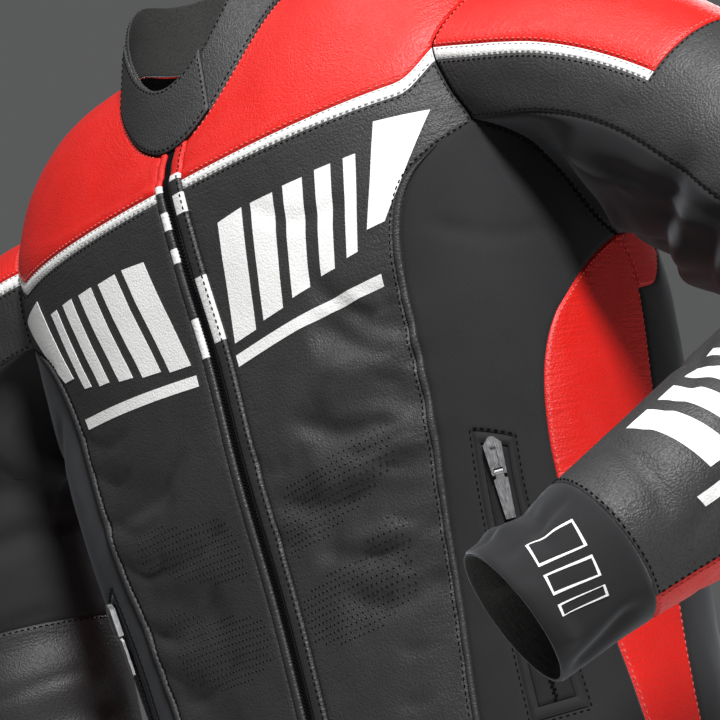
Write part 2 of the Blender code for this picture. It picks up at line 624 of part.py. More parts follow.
def pocket_slider(hand, steel):
    """Slider of a pocket zip and its pull tab, which turns about the pin at the slider's foot."""
    along = SLIDER_LEVEL
    low = float(curve(PRINCESS, 1, along))
    bearing = low + 0.5 * (float(curve(LEAF_FRONT, 1, along)) - low)
    here = torso(bearing, along)
    down = torso(bearing, along - 0.010) - torso(bearing, along + 0.010)
    across = torso(bearing + 2, along) - torso(bearing - 2, along)
    down, across = down / np.linalg.norm(down), across / np.linalg.norm(across)
    out = np.cross(down, across)
    out /= np.linalg.norm(out)
    across = np.cross(out, down)
    if out[0] < 0:
        out, across = -out, -across
    axes = Matrix((across, -down, out)).transposed()
    place = Matrix.Translation(Vector(here)) @ axes.to_4x4()
    if hand == "right":
        mirror = Matrix.Scale(-1.0, 4, Vector((1.0, 0.0, 0.0)))
        place = mirror @ place @ mirror

    half, foot = SLIDER_WIDE / 2, -SLIDER_LONG / 2
    top = SLIDER_LONG / 2
    outline = ((-half * 0.80, foot), (half * 0.80, foot), (half, top * 0.62), (half * 0.25, top),
               (-half * 0.25, top), (-half, top * 0.62))
    body = slab(f"pocket_slider_{hand}", outline, SLIDER_LOW, SLIDER_HIGH, steel)
    window = slab("window", ((-SLOT_HALF, foot + 0.004), (SLOT_HALF, foot + 0.004),
                             (SLOT_HALF, top * 0.45), (-SLOT_HALF, top * 0.45)),
                  SLIDER_HIGH - 0.0014, SLIDER_HIGH + 0.001, steel)
    joined(body, window, "DIFFERENCE")
    notch = slab("notch", ((-EYE_HALF - PLAY, foot - 0.002), (EYE_HALF + PLAY, foot - 0.002),
                           (EYE_HALF + PLAY, foot + 0.0038), (-EYE_HALF - PLAY, foot + 0.0038)),
                 SLIDER_LOW - 0.001, SLIDER_HIGH + 0.001, steel)
    joined(body, notch, "DIFFERENCE")
    pin_y, pin_z = foot + 0.0016, (SLIDER_LOW + SLIDER_HIGH) / 2
    joined(body, rod("pin", PIN_RADIUS, EYE_HALF + PLAY + 0.0004, pin_y, pin_z, steel), "UNION")
    body.matrix_world = place

    wide, narrow, long_ = PULL_WIDE / 2, PULL_NARROW / 2, PULL_LONG
    neck = EYE_HALF
    shape = ((-narrow, -long_), (narrow, -long_), (wide, -0.0052), (wide, -0.0040), (neck, -0.0036),
             (neck, 0.0), (-neck, 0.0), (-neck, -0.0036), (-wide, -0.0040), (-wide, -0.0052))
    pull = slab(f"pocket_pull_{hand}", shape, -PULL_THICK / 2, PULL_THICK / 2, steel)
    joined(pull, rod("eye", PIN_RADIUS + PLAY + 0.0008, EYE_HALF, 0.0, 0.0, steel), "UNION")
    joined(pull, rod("bore", PIN_RADIUS + PLAY, EYE_HALF + 0.001, 0.0, 0.0, steel), "DIFFERENCE")
    pull.matrix_world = place @ Matrix.Translation((0.0, pin_y, pin_z))


def fold_lines(sleeves):
    """The middle line of every fold, as points on the cloth, with its depth and half width."""
    lines = []
    for side, bearing_a, along_a, bearing_b, along_b, depth, half in BODY_FOLDS:
        line = [torso(bearing_a + share * (bearing_b - bearing_a), along_a + share * (along_b - along_a))
                for share in np.linspace(0.0, 1.0, 9)]
        lines.append((np.array(line) * np.array((side, 1.0, 1.0)), depth, half))
    for hand, distance_a, column_a, distance_b, column_b, depth, half in SLEEVE_FOLDS:
        rings = np.array(sleeves[hand])
        line = []
        for share in np.linspace(0.0, 1.0, 9):
            row = np.interp(distance_a + share * (distance_b - distance_a), SLEEVE_ROWS,
                            range(len(SLEEVE_ROWS)))
            column = column_a + share * (column_b - column_a)
            i, j = int(row), int(column)
            down, across = row - i, column - j
            line.append((1 - down) * ((1 - across) * rings[i, j] + across * rings[i, j + 1])
                        + down * ((1 - across) * rings[i + 1, j] + across * rings[i + 1, j + 1]))
        lines.append((np.array(line), depth, half))
    return lines


def fold_depths(points, lines):
    """How deep every point is pressed in by all folds together."""
    depths = np.zeros(len(points))
    for line, depth, half in lines:
        nearest = np.full(len(points), np.inf)
        place = np.zeros(len(points))
        for k, (a, b) in enumerate(zip(line, line[1:])):
            share = np.clip(((points - a) @ (b - a)) / ((b - a) @ (b - a)), 0.0, 1.0)
            gap = np.linalg.norm(points - a - share[:, None] * (b - a), axis=1)
            closer = gap < nearest
            nearest = np.where(closer, gap, nearest)
            place = np.where(closer, (k + share) / (len(line) - 1), place)
        fade = smooth(np.minimum(place, 1.0 - place) / 0.25 + 0.15)
        depths += depth * fade * np.exp(-(nearest / half) ** 2)
    return depths


def build():
    for item in list(bpy.data.objects):
        bpy.data.objects.remove(item)

    black = paint("black_leather", (0.030, 0.030, 0.033), 0.55)
    red = paint("red_leather", (0.62, 0.030, 0.022), 0.50)
    white = paint("white_leather", (0.80, 0.80, 0.79), 0.55)
    stretch = paint("stretch_fabric", (0.028, 0.028, 0.030), 0.85)
    soft = paint("soft_cuff", (0.022, 0.022, 0.024), 0.80)
    tape = paint("zip_tape", (0.012, 0.012, 0.013), 0.80)
    steel = paint("dull_steel", (0.36, 0.36, 0.37), 0.38, 1.0)

    # Each kind of piece: first part of its name, material, wall and how far its face stands out
    kinds = (
        ("waistband", black, LEATHER, 0.0), ("zip_tape", tape, 0.0012, -0.0004),
        ("zip_facing", black, LEATHER + WELT_RISE, WELT_RISE), ("front_panel", black, LEATHER, 0.0),
        ("yoke_strip", white, STRIP, 0.0), ("front_yoke", red, LEATHER, 0.0),
        ("front_piping", black, LEATHER + WELT_RISE, WELT_RISE),
        ("side_stretch", stretch, STRETCH, 0.0), ("pocket_welt", black, LEATHER + 0.0006, 0.0006),
        ("pocket_zip", tape, 0.0012, -0.0004), ("side_leaf", red, LEATHER, 0.0),
        ("back_side", stretch, STRETCH, 0.0), ("underarm_strap", red, LEATHER, 0.0),
        ("back_panel", black, LEATHER, 0.0), ("back_yoke", red, LEATHER, 0.0),
        ("collar", black, LEATHER, 0.0), ("sleeve_stretch", stretch, STRETCH, 0.0),
        ("sleeve_cap", red, LEATHER, 0.0), ("sleeve_strip", white, STRIP, 0.0),
        ("sleeve_outer", black, LEATHER, 0.0), ("forearm_upper", black, LEATHER, 0.0),
        ("forearm_under", red, LEATHER, 0.0), ("cuff", soft, RIB, 0.0),
    )
    garment, tab, sleeves = lay_out()
    points = np.array(garment.points)
    depths = fold_depths(points, fold_lines(sleeves))
    garment.points = list(points - garment.normals() * depths[:, None])
    normals = garment.normals()
    for name, cells in garment.pieces.items():
        kind = next(row for row in kinds if name.startswith(row[0]))
        cloth(name, cells, garment.points, normals, kind[2], kind[3], kind[1])
    cloth("collar_tab", tab, garment.points, normals, LEATHER, 0.0, black, lift=TAB_LIFT)
    for hand in ("left", "right"):
        pocket_slider(hand, steel)


build()
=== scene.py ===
# Looks of a leather motorcycle jacket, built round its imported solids.
# Metres. The wearer's left is +X, the front is -Y, up is +Z.
import math

import bpy
import numpy as np
from mathutils import Matrix, Vector, kdtree, noise
from mathutils.bvhtree import BVHTree


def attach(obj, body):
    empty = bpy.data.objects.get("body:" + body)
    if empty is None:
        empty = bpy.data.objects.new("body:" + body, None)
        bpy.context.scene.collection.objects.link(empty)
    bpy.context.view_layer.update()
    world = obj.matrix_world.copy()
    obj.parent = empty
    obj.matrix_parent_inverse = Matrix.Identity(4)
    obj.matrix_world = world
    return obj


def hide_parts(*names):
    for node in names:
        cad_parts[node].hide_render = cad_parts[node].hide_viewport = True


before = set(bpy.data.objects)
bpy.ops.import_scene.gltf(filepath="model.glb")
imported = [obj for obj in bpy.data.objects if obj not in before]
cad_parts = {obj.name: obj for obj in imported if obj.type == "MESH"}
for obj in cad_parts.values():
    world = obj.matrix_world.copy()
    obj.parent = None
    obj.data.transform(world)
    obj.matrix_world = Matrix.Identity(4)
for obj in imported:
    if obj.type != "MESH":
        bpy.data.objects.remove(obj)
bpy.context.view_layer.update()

# Sewing sizes
ZIP_HALF = 0.0035       # half of the open width between the facings
FACING_LEFT = 0.0090    # width of the flat facing on the wearer's left
FACING_RIGHT = 0.0055   # width of the narrow rolled facing on the wearer's right
WELT = 0.0040           # width of the piping beside the front panels
SEAM_RADIUS = 0.165     # distance of the princess seam from the middle of the body
SEAM_DROP = 0.0010      # how far a panel's edge turns in at a seam
SEAM_ROLL = 0.0022      # width over which it turns in
CELL_FRONT = 0.0025     # size of the cloth's cells on the front
CELL_BACK = 0.0036
CELL_SLEEVE = 0.0034
SEAM_LINES = (0.0007, 0.0017)   # fine lines beside a seam, by distance from it
LEAST_CELL = 0.0004     # lines closer than this are merged
NARROW = 0.0075         # a strip narrower than this gets rounded columns
NARROW_CELLS = 7
FLAT_DEGREE = 0.0030    # flat width of one degree of the body's round
FLAT_COLUMN = 0.018     # flat width of one column of a sleeve
WAVINESS = 0.0006       # height of the cloth's slight waves
LARGE_FOLD = 0.010      # folds with a smaller half width than this sag
SAG = 0.012
WAVES = (22.0, 61.0)    # sizes of the slight waves, in turns a metre
WAVE_BORDER = 0.010     # width over which the waves fade towards the seams
PUCKER_START, PUCKER_WIDTH = 0.002, 0.030   # where the wrinkles beside a seam fade
ARMHOLE_FADE = 0.030    # length over which the sleeve's fine lines leave the armhole's
FOLD_REACH = 3          # a fold is felt this many half widths away
FOLD_FADE, FOLD_END = 0.25, 0.15        # how a fold fades towards its ends, as shares of its length
CROWN_DROP = 0.0006     # how far a welt's edge lies below the panels
TAB_ROLL = 0.5          # the collar tab's edge turns in by this share of a panel's
PROBE_TURN, PROBE_CLIMB = 0.2, 0.0005   # steps to measure the direction out: degrees and distance
# Sizes of cells on other parts, as shares: the wearer's right front, the sides, the leaves, the
# wearer's left sleeve and the collar
RIGHT_CELLS, SIDE_CELLS, LEAF_CELLS, BENT_CELLS, COLLAR_CELLS = 1.12, 1.2, 1.1, 0.85, 0.8

# Walls of the pieces
LEATHER, STRETCH, STRIP, RIB = 0.0018, 0.0015, 0.0016, 0.0026
TAPE, TAPE_DROP = 0.0012, -0.0004
WELT_WALL, WELT_RISE = 0.0030, 0.0012
POCKET_WALL, POCKET_RISE = 0.0024, 0.0006
TAB_GAP = 0.0004        # gap between the collar and its tab

# Body of the garment: a row for each level, going up from the hem.
# along = distance up the cloth, then height, half width, depth to the front, depth to the back,
# squareness of the front, squareness of the back, fall at the front, rise at the back
TORSO = np.array((
    (0.000, -0.614, 0.182, 0.120, 0.117, 2.40, 2.60, 0.000, -0.020),
    (0.062, -0.552, 0.178, 0.117, 0.114, 2.40, 2.80, 0.000, -0.010),
    (0.146, -0.468, 0.181, 0.113, 0.115, 2.45, 3.00, 0.000, 0.000),
    (0.240, -0.374, 0.192, 0.109, 0.125, 2.50, 3.30, 0.000, 0.000),
    (0.322, -0.291, 0.202, 0.110, 0.137, 2.50, 3.70, 0.000, 0.000),
    (0.395, -0.218, 0.205, 0.107, 0.141, 2.50, 3.80, 0.000, 0.000),
    (0.447, -0.166, 0.204, 0.109, 0.136, 2.45, 3.30, 0.000, 0.000),
    (0.499, -0.115, 0.204, 0.108, 0.124, 2.40, 2.70, 0.000, 0.000),
    (0.546, -0.068, 0.199, 0.103, 0.108, 2.25, 2.25, 0.036, 0.000),
    (0.572, -0.040, 0.185, 0.100, 0.101, 2.10, 2.10, 0.058, 0.002),
    (0.598, -0.021, 0.163, 0.098, 0.095, 2.05, 2.05, 0.074, 0.004),
    (0.640, -0.004, 0.119, 0.095, 0.086, 2.00, 2.00, 0.087, 0.007),
    (0.671, 0.000, 0.074, 0.093, 0.077, 2.00, 2.00, 0.088, 0.010),
))

# Vertical seams: distance up the cloth, then bearing from straight ahead in degrees
PRINCESS = np.array((
    (0.000, 45.0), (0.062, 45.0), (0.146, 48.0), (0.205, 51.0), (0.255, 53.0), (0.300, 55.0),
    (0.341, 56.0), (0.371, 56.8), (0.400, 57.6), (0.418, 58.8), (0.436, 61.0), (0.450, 64.5),
    (0.460, 69.0), (0.468, 74.5),
))
LEAF_FRONT = np.array((
    (0.000, 80.0), (0.062, 79.0), (0.140, 77.0), (0.200, 74.0), (0.253, 72.2), (0.283, 72.5),
    (0.323, 75.0), (0.343, 78.0), (0.361, 83.5), (0.378, 90.5), (0.393, 99.5),
))
LEAF_BACK = np.array((
    (0.000, 92.0), (0.062, 92.0), (0.140, 94.0), (0.200, 96.0), (0.250, 98.0), (0.310, 99.5),
    (0.340, 101.0), (0.363, 101.8), (0.380, 101.3), (0.393, 99.5),
))
BACK_SEAM = np.array((
    (0.000, 122.0), (0.140, 124.0), (0.250, 125.0), (0.330, 124.0), (0.390, 121.0),
    (0.430, 117.0), (0.455, 113.0),
))

# Armhole, as bearing and distance up the cloth: the lower edge in front and behind the armpit,
# then a row of the grid at a time up the front edge and up the back edge to the shoulder
HOLE_FRONT_LOW = np.array((
    (74.5, 0.468), (80.0, 0.459), (86.0, 0.445), (91.0, 0.424), (95.5, 0.403), (99.5, 0.393),
))
HOLE_BACK_LOW = np.array((
    (99.5, 0.393), (103.6, 0.396), (108.5, 0.418), (113.0, 0.455),
))
HOLE_FRONT_HIGH = (
    (74.5, 0.468), (72.6, 0.490), (72.0, 0.512), (72.3, 0.523), (75.0, 0.536), (81.5, 0.548),
    (90.0, 0.556),
)
HOLE_BACK_HIGH = (
    (113.0, 0.455), (114.0, 0.471), (113.4, 0.488), (112.4, 0.496), (108.5, 0.520),
    (101.0, 0.545), (90.0, 0.556),
)

# Levels of the grid's rows, as distance up the cloth
LOW_ROWS = (
    0.000, 0.022, 0.045, 0.075, 0.104, 0.128, 0.135, 0.160, 0.186, 0.212, 0.238, 0.264, 0.290,
    0.297, 0.318, 0.342, 0.366, 0.390, 0.412, 0.431, 0.446, 0.458, 0.468,
)
HIGH_ROWS_FRONT = (0.468, 0.482, 0.4940, 0.5040, 0.519, 0.537, 0.556)
HIGH_ROWS_BACK = (0.455, 0.471, 0.488, 0.496, 0.518, 0.537, 0.556)
NECK_ROWS = (0.556, 0.575, 0.594, 0.613, 0.632, 0.651, 0.671)
BACK_STEP = 0.0147      # even step between the back's rows up to the shoulder
WAIST_ROW = 2           # top of the waistband
POCKET_ROWS = (5, 6, 12, 13)
ARM_ROW = len(LOW_ROWS) - 1
PIPING_END = ARM_ROW - 1
STRIP_ROW = ARM_ROW + 2
YOKE_ROW = ARM_ROW + 3
SHOULDER_ROW = ARM_ROW + len(HIGH_ROWS_FRONT) - 1
NECK_ROW = SHOULDER_ROW + len(NECK_ROWS) - 1
STRAP_ROW = ARM_ROW - 3

# Places of the columns within each part of the round, as shares of its width
FRONT_SHARES = (0.0, 0.15, 0.30, 0.45, 0.60, 0.75, 0.88, 1.0)
SIDE_SHARES = (0.0, 0.18, 0.33, 0.38, 0.62, 0.67, 0.84, 1.0)
THIRD_SHARES = (0.0, 0.33, 0.67, 1.0)
BACK_SHARES = (0.0, 0.14, 0.28, 0.43, 0.57, 0.71, 0.86, 1.0)
FRONT_EDGE = len(FRONT_SHARES) + 1
BEND_START, BEND_LENGTH = 0.200, 0.268  # the low rows start to bend towards the armhole's edge here
PEAK_START, PEAK_WIDTH = 0.88, 0.12     # the strip's rows peak within this share of the front
EASE_START, EASE_WIDTH = 0.30, 0.70     # the other rows rise towards the armhole from here on
BACK_EASE = 0.4         # the back's rows fall from the armhole within this share

# Sleeves: distance along the arm, half height, half depth
SLEEVE = np.array((
    (0.000, 0.0790, 0.0610), (0.060, 0.0760, 0.0640), (0.120, 0.0680, 0.0630),
    (0.200, 0.0660, 0.0640), (0.280, 0.0660, 0.0640), (0.340, 0.0640, 0.0620),
    (0.400, 0.0570, 0.0560), (0.460, 0.0495, 0.0485), (0.518, 0.0430, 0.0420),
    (0.600, 0.0405, 0.0395),
))
SLEEVE_ROWS = (
    0.000, 0.014, 0.030, 0.047, 0.064, 0.082, 0.101, 0.123, 0.147, 0.171, 0.195, 0.219, 0.243,
    0.267, 0.291, 0.315, 0.339, 0.364, 0.389, 0.414, 0.440, 0.466, 0.492, 0.518, 0.537, 0.556,
    0.575,
)
CAP_ROW, ELBOW_ROW, WRIST_ROW, CUFF_ROW = 7, 12, 23, len(SLEEVE_ROWS) - 1
STRIP_COLUMN = 9        # the strip's column round the sleeve, kept narrower than the others
SETTLE = 0.110          # length over which the armhole's shape turns into the sleeve's
EVEN_OUT = 0.25         # length over which the columns spread evenly round the sleeve
SLEEVE_SEAMS = (7, 9, 10, 16, 19, 22)
FOREARM_SEAMS = (16, 21)
ROUND = 22              # columns all round a sleeve
COLUMN_SHARES = np.where(np.arange(ROUND) == STRIP_COLUMN, 0.35, 1.0)
# Columns of the armhole, from the armpit forward, at the princess seam, shoulder and back seam
HOLE_SEAM, HOLE_SHOULDER, HOLE_REAR = 7, 13, 19

# Collar
COLLAR_ROWS = (0.0, 0.012, 0.024, 0.035, 0.044)
COLLAR_TOP = len(COLLAR_ROWS) - 1
COLLAR_UP, COLLAR_IN = 0.955, 0.296
TAB_COLUMNS = (3, 5)    # how far the tab reaches to the wearer's left and right

# Corners of each arm's path past the armhole, seen as on the wearer's left: x, y, z, bend radius
BENT_ARM = (
    (0.284, -0.006, -0.170, 0.160), (0.404, -0.004, -0.344, 0.080), (0.294, -0.201, -0.429, 0.120),
    (0.244, -0.256, -0.458, 0.0),
)
HANGING_ARM = (
    (0.304, -0.004, -0.140, 0.105), (0.314, -0.010, -0.440, 0.250), (0.288, -0.095, -0.690, 0.0),
)

# Large folds, the same as in the solids: side (1 the wearer's left, -1 the right), bearing and
# distance up the cloth at both ends, depth (negative stands out) and half width
BODY_FOLDS = (
    (1, 57.0, 0.385, 33.0, 0.372, 0.0034, 0.012),
    (1, 57.0, 0.358, 30.0, 0.338, -0.0026, 0.012),
    (1, 56.0, 0.336, 24.0, 0.318, 0.0038, 0.013),
    (1, 55.0, 0.306, 22.0, 0.296, -0.0028, 0.013),
    (1, 55.0, 0.282, 18.0, 0.268, 0.0030, 0.014),
    (1, 53.0, 0.232, 20.0, 0.208, 0.0026, 0.015),
    (-1, 55.0, 0.352, 28.0, 0.322, 0.0030, 0.014),
    (-1, 54.0, 0.286, 20.0, 0.240, 0.0034, 0.015),
    (-1, 50.0, 0.226, 26.0, 0.170, 0.0026, 0.015),
    (1, 128.0, 0.330, 160.0, 0.300, 0.0034, 0.016),
    (-1, 130.0, 0.300, 165.0, 0.276, 0.0032, 0.016),
    (1, 126.0, 0.250, 158.0, 0.232, 0.0030, 0.016),
    (-1, 124.0, 0.226, 150.0, 0.190, 0.0030, 0.016),
)

# The same for the sleeves: distance along the arm and column round it at both ends
SLEEVE_FOLDS = (
    ("left", 0.232, 1.0, 0.262, 9.0, 0.0060, 0.013),
    ("left", 0.272, 1.5, 0.292, 10.0, 0.0070, 0.013),
    ("left", 0.320, 2.0, 0.324, 9.0, 0.0055, 0.013),
    ("left", 0.080, 3.0, 0.200, 5.5, 0.0050, 0.013),
    ("left", 0.110, 20.0, 0.215, 17.0, 0.0045, 0.014),
    ("left", 0.420, 11.0, 0.450, 19.0, 0.0026, 0.013),
    ("right", 0.250, 2.0, 0.262, 10.0, 0.0050, 0.014),
    ("right", 0.300, 1.0, 0.318, 8.0, 0.0056, 0.014),
    ("right", 0.352, 3.0, 0.372, 10.0, 0.0044, 0.014),
    ("right", 0.100, 4.0, 0.190, 6.0, 0.0044, 0.014),
    ("right", 0.120, 18.0, 0.210, 20.0, 0.0046, 0.014),
    ("right", 0.440, 6.0, 0.462, 14.0, 0.0030, 0.014),
)

# Smaller creases pressed in one by one, in the same terms
BODY_CREASES = (
    (1, 57.6, 0.341, 36.0, 0.394, 0.0036, 0.0074), (1, 57.0, 0.360, 37.0, 0.417, 0.0027, 0.0068),
    (1, 56.0, 0.320, 20.0, 0.340, 0.0040, 0.0070), (1, 54.4, 0.294, 6.5, 0.297, 0.0042, 0.0074),
    (1, 53.0, 0.254, 17.0, 0.263, 0.0038, 0.0072), (1, 51.0, 0.227, 22.0, 0.232, 0.0035, 0.0070),
    (1, 56.4, 0.330, 34.0, 0.352, -0.0028, 0.0066), (1, 55.0, 0.307, 22.0, 0.319, -0.0030, 0.0070),
    (1, 54.0, 0.274, 18.0, 0.281, -0.0028, 0.0070), (1, 52.0, 0.240, 20.0, 0.247, -0.0026, 0.0066),
    (-1, 56.0, 0.330, 20.0, 0.352, 0.0024, 0.0060), (-1, 54.0, 0.296, 12.0, 0.300, 0.0026, 0.0060),
    (-1, 53.0, 0.256, 22.0, 0.268, 0.0024, 0.0060), (-1, 50.0, 0.214, 20.0, 0.226, 0.0024, 0.0060),
    (1, 57.5, 0.404, 47.0, 0.398, 0.0011, 0.0030), (1, 57.2, 0.394, 44.0, 0.387, 0.0014, 0.0034),
    (1, 57.0, 0.375, 48.0, 0.370, -0.0010, 0.0028), (1, 56.9, 0.367, 40.0, 0.357, 0.0016, 0.0036),
    (1, 56.6, 0.351, 45.0, 0.345, 0.0012, 0.0030), (1, 56.2, 0.343, 37.0, 0.333, -0.0012, 0.0034),
    (1, 56.0, 0.327, 42.0, 0.321, 0.0013, 0.0032), (1, 55.6, 0.318, 33.0, 0.309, 0.0017, 0.0038),
    (1, 55.4, 0.300, 41.0, 0.296, 0.0012, 0.0030), (1, 55.0, 0.292, 32.0, 0.283, -0.0013, 0.0036),
    (1, 54.8, 0.272, 40.0, 0.267, 0.0012, 0.0032), (1, 54.0, 0.262, 30.0, 0.251, 0.0016, 0.0040),
    (1, 53.4, 0.246, 38.0, 0.240, 0.0012, 0.0034), (1, 52.4, 0.222, 33.0, 0.212, -0.0013, 0.0040),
    (1, 51.0, 0.204, 34.0, 0.192, 0.0014, 0.0040), (1, 49.4, 0.180, 30.0, 0.162, 0.0016, 0.0046),
    (1, 47.0, 0.138, 28.0, 0.124, 0.0016, 0.0050), (1, 4.0, 0.330, 18.0, 0.318, 0.0012, 0.0050),
    (1, 4.0, 0.286, 14.0, 0.276, 0.0010, 0.0046), (1, 26.0, 0.470, 52.0, 0.446, 0.0012, 0.0060),
    (-1, 57.0, 0.392, 40.0, 0.378, 0.0013, 0.0036), (-1, 56.0, 0.368, 42.0, 0.356, 0.0012, 0.0032),
    (-1, 56.0, 0.336, 36.0, 0.318, 0.0016, 0.0040), (-1, 55.0, 0.310, 38.0, 0.296, 0.0013, 0.0036),
    (-1, 54.0, 0.268, 32.0, 0.244, 0.0016, 0.0042), (-1, 52.0, 0.240, 36.0, 0.222, 0.0012, 0.0036),
    (-1, 48.0, 0.190, 26.0, 0.160, 0.0015, 0.0044), (-1, 46.0, 0.140, 24.0, 0.118, 0.0014, 0.0048),
    (1, 62.0, 0.420, 84.0, 0.400, 0.0014, 0.0060), (1, 66.0, 0.200, 58.0, 0.140, 0.0016, 0.0060),
    (-1, 62.0, 0.410, 84.0, 0.392, 0.0014, 0.0060), (-1, 66.0, 0.220, 56.0, 0.150, 0.0016, 0.0060),
    (1, 112.0, 0.300, 140.0, 0.286, 0.0014, 0.0044), (1, 124.0, 0.360, 150.0, 0.340, 0.0014, 0.0044),
    (-1, 112.0, 0.320, 138.0, 0.300, 0.0014, 0.0044), (-1, 122.0, 0.270, 152.0, 0.252, 0.0014, 0.0044),
    (1, 126.0, 0.200, 156.0, 0.176, 0.0015, 0.0050), (-1, 128.0, 0.170, 160.0, 0.150, 0.0015, 0.0050),
    (1, 120.0, 0.120, 150.0, 0.104, 0.0015, 0.0050), (-1, 122.0, 0.100, 146.0, 0.090, 0.0014, 0.0050),
)
SLEEVE_CREASES = (
    ("left", 0.246, 2.0, 0.276, 8.0, 0.0022, 0.0046), ("left", 0.290, 1.0, 0.304, 7.0, 0.0022, 0.0046),
    ("left", 0.300, 3.0, 0.312, 11.0, 0.0018, 0.0042), ("left", 0.340, 4.0, 0.348, 11.0, 0.0020, 0.0044),
    ("left", 0.366, 2.0, 0.384, 9.0, 0.0014, 0.0044), ("left", 0.410, 4.0, 0.430, 10.0, 0.0012, 0.0044),
    ("left", 0.060, 1.5, 0.190, 3.5, 0.0028, 0.0060), ("left", 0.100, 5.0, 0.210, 6.6, 0.0022, 0.0056),
    ("left", 0.050, 20.5, 0.170, 20.0, 0.0024, 0.0056), ("left", 0.470, 14.0, 0.500, 20.0, 0.0012, 0.0040),
    ("left", 0.160, 9.0, 0.180, 15.0, 0.0014, 0.0052), ("left", 0.530, 2.0, 0.545, 9.0, 0.0016, 0.0050),
    ("left", 0.090, 0.5, 0.230, 1.3, -0.0110, 0.0200), ("left", 0.150, 0.6, 0.166, 8.0, 0.0050, 0.0090),
    ("left", 0.186, 0.6, 0.206, 8.0, 0.0060, 0.0090), ("left", 0.170, 1.0, 0.184, 7.0, -0.0040, 0.0080),
    ("left", 0.398, 7.0, 0.452, 9.4, 0.0018, 0.0060), ("left", 0.440, 12.0, 0.505, 14.0, 0.0018, 0.0060),
    ("left", 0.486, 7.0, 0.500, 13.0, 0.0022, 0.0055), ("left", 0.462, 8.5, 0.470, 14.5, 0.0012, 0.0040),
    ("left", 0.524, 6.5, 0.574, 7.6, 0.0036, 0.0060), ("left", 0.522, 9.0, 0.572, 9.8, 0.0022, 0.0050),
    ("left", 0.536, 7.4, 0.552, 11.0, 0.0024, 0.0050), ("left", 0.560, 4.0, 0.556, 9.0, -0.0026, 0.0060),
    ("left", 0.526, 15.0, 0.572, 16.4, 0.0030, 0.0060), ("left", 0.528, 18.0, 0.572, 18.6, 0.0034, 0.0060),
    ("left", 0.528, 2.0, 0.572, 3.2, 0.0034, 0.0060), ("left", 0.570, 11.0, 0.566, 15.0, -0.0020, 0.0050),
    ("right", 0.236, 3.0, 0.246, 9.0, 0.0018, 0.0046), ("right", 0.276, 2.0, 0.290, 8.0, 0.0020, 0.0046),
    ("right", 0.330, 2.0, 0.340, 9.0, 0.0018, 0.0044), ("right", 0.390, 4.0, 0.408, 11.0, 0.0014, 0.0044),
    ("right", 0.060, 1.5, 0.200, 2.6, 0.0026, 0.0060), ("right", 0.090, 5.0, 0.200, 6.4, 0.0020, 0.0056),
    ("right", 0.060, 20.5, 0.180, 20.0, 0.0022, 0.0056), ("right", 0.480, 12.0, 0.500, 19.0, 0.0012, 0.0040),
    ("right", 0.130, 1.0, 0.150, 8.0, 0.0040, 0.0090), ("right", 0.176, 1.0, 0.196, 8.0, 0.0044, 0.0090),
    ("right", 0.410, 6.0, 0.460, 9.0, 0.0018, 0.0060), ("right", 0.486, 3.0, 0.500, 10.0, 0.0020, 0.0055),
    ("right", 0.526, 5.0, 0.572, 6.2, 0.0030, 0.0060), ("right", 0.526, 11.0, 0.572, 11.8, 0.0030, 0.0060),
    ("right", 0.528, 16.0, 0.572, 17.0, 0.0030, 0.0060), ("right", 0.536, 8.0, 0.552, 12.0, 0.0022, 0.0050),
)

# Plain slanted bars of white leather, four corners each as bearing and distance up the cloth
FRONT_BARS = (
    ((10.0, 0.394), (19.0, 0.396), (25.5, 0.466), (16.5, 0.464)),
    ((22.5, 0.399), (29.5, 0.401), (35.5, 0.466), (28.5, 0.466)),
    ((33.0, 0.404), (38.0, 0.406), (43.5, 0.467), (38.5, 0.467)),
    ((41.5, 0.409), (45.0, 0.410), (50.0, 0.468), (46.5, 0.468)),
    ((48.0, 0.413), (50.4, 0.414), (55.0, 0.468), (52.6, 0.468)),
    ((53.2, 0.424), (56.6, 0.425), (68.6, 0.479), (59.5, 0.482)),
    ((9.0, 0.380), (53.0, 0.390), (53.4, 0.397), (9.0, 0.387)),
)
# The same on the forearms, by distance along the arm and column, and the outlined ones on the cuffs
FOREARM_BARS = (
    ((0.478, 8.2), (0.462, 8.2), (0.452, 12.6), (0.468, 12.6)),
    ((0.454, 8.2), (0.442, 8.2), (0.432, 12.6), (0.444, 12.6)),
    ((0.434, 8.2), (0.425, 8.2), (0.415, 12.6), (0.424, 12.6)),
    ((0.417, 8.2), (0.411, 8.2), (0.401, 12.6), (0.407, 12.6)),
    ((0.484, 13.2), (0.396, 13.2), (0.395, 13.7), (0.482, 13.7)),
)
CUFF_BARS = (
    ((0.531, 10.9), (0.557, 10.4), (0.560, 11.7), (0.534, 12.2)),
    ((0.535, 12.6), (0.561, 12.1), (0.563, 13.0), (0.537, 13.5)),
    ((0.538, 13.9), (0.564, 13.4), (0.565, 13.9), (0.539, 14.4)),
)

# Fields of small holes in the front panels: corners as bearing and distance up the cloth
PERFORATED = (
    ((9.0, 0.266), (10.0, 0.291), (15.0, 0.304), (26.0, 0.304), (33.0, 0.309), (39.0, 0.315),
     (46.8, 0.315), (46.2, 0.293), (37.0, 0.279), (31.0, 0.273), (23.5, 0.266), (12.0, 0.261)),
    ((8.0, 0.237), (20.0, 0.246), (31.0, 0.249), (36.0, 0.257), (41.0, 0.266), (44.8, 0.262),
     (42.4, 0.219), (33.0, 0.207), (20.0, 0.204), (9.0, 0.210)),
)
HOLE_PITCH = 0.0043
HOLE_ROW = HOLE_PITCH * 0.92    # distance between the rows of holes
HOLE_DEGREE = 0.0029            # width of one degree where the holes are
HOLE_SLANT = 0.00012            # how far a row of holes climbs in a degree
HOLE_RADIUS, HOLE_SIDES = 0.00062, 8
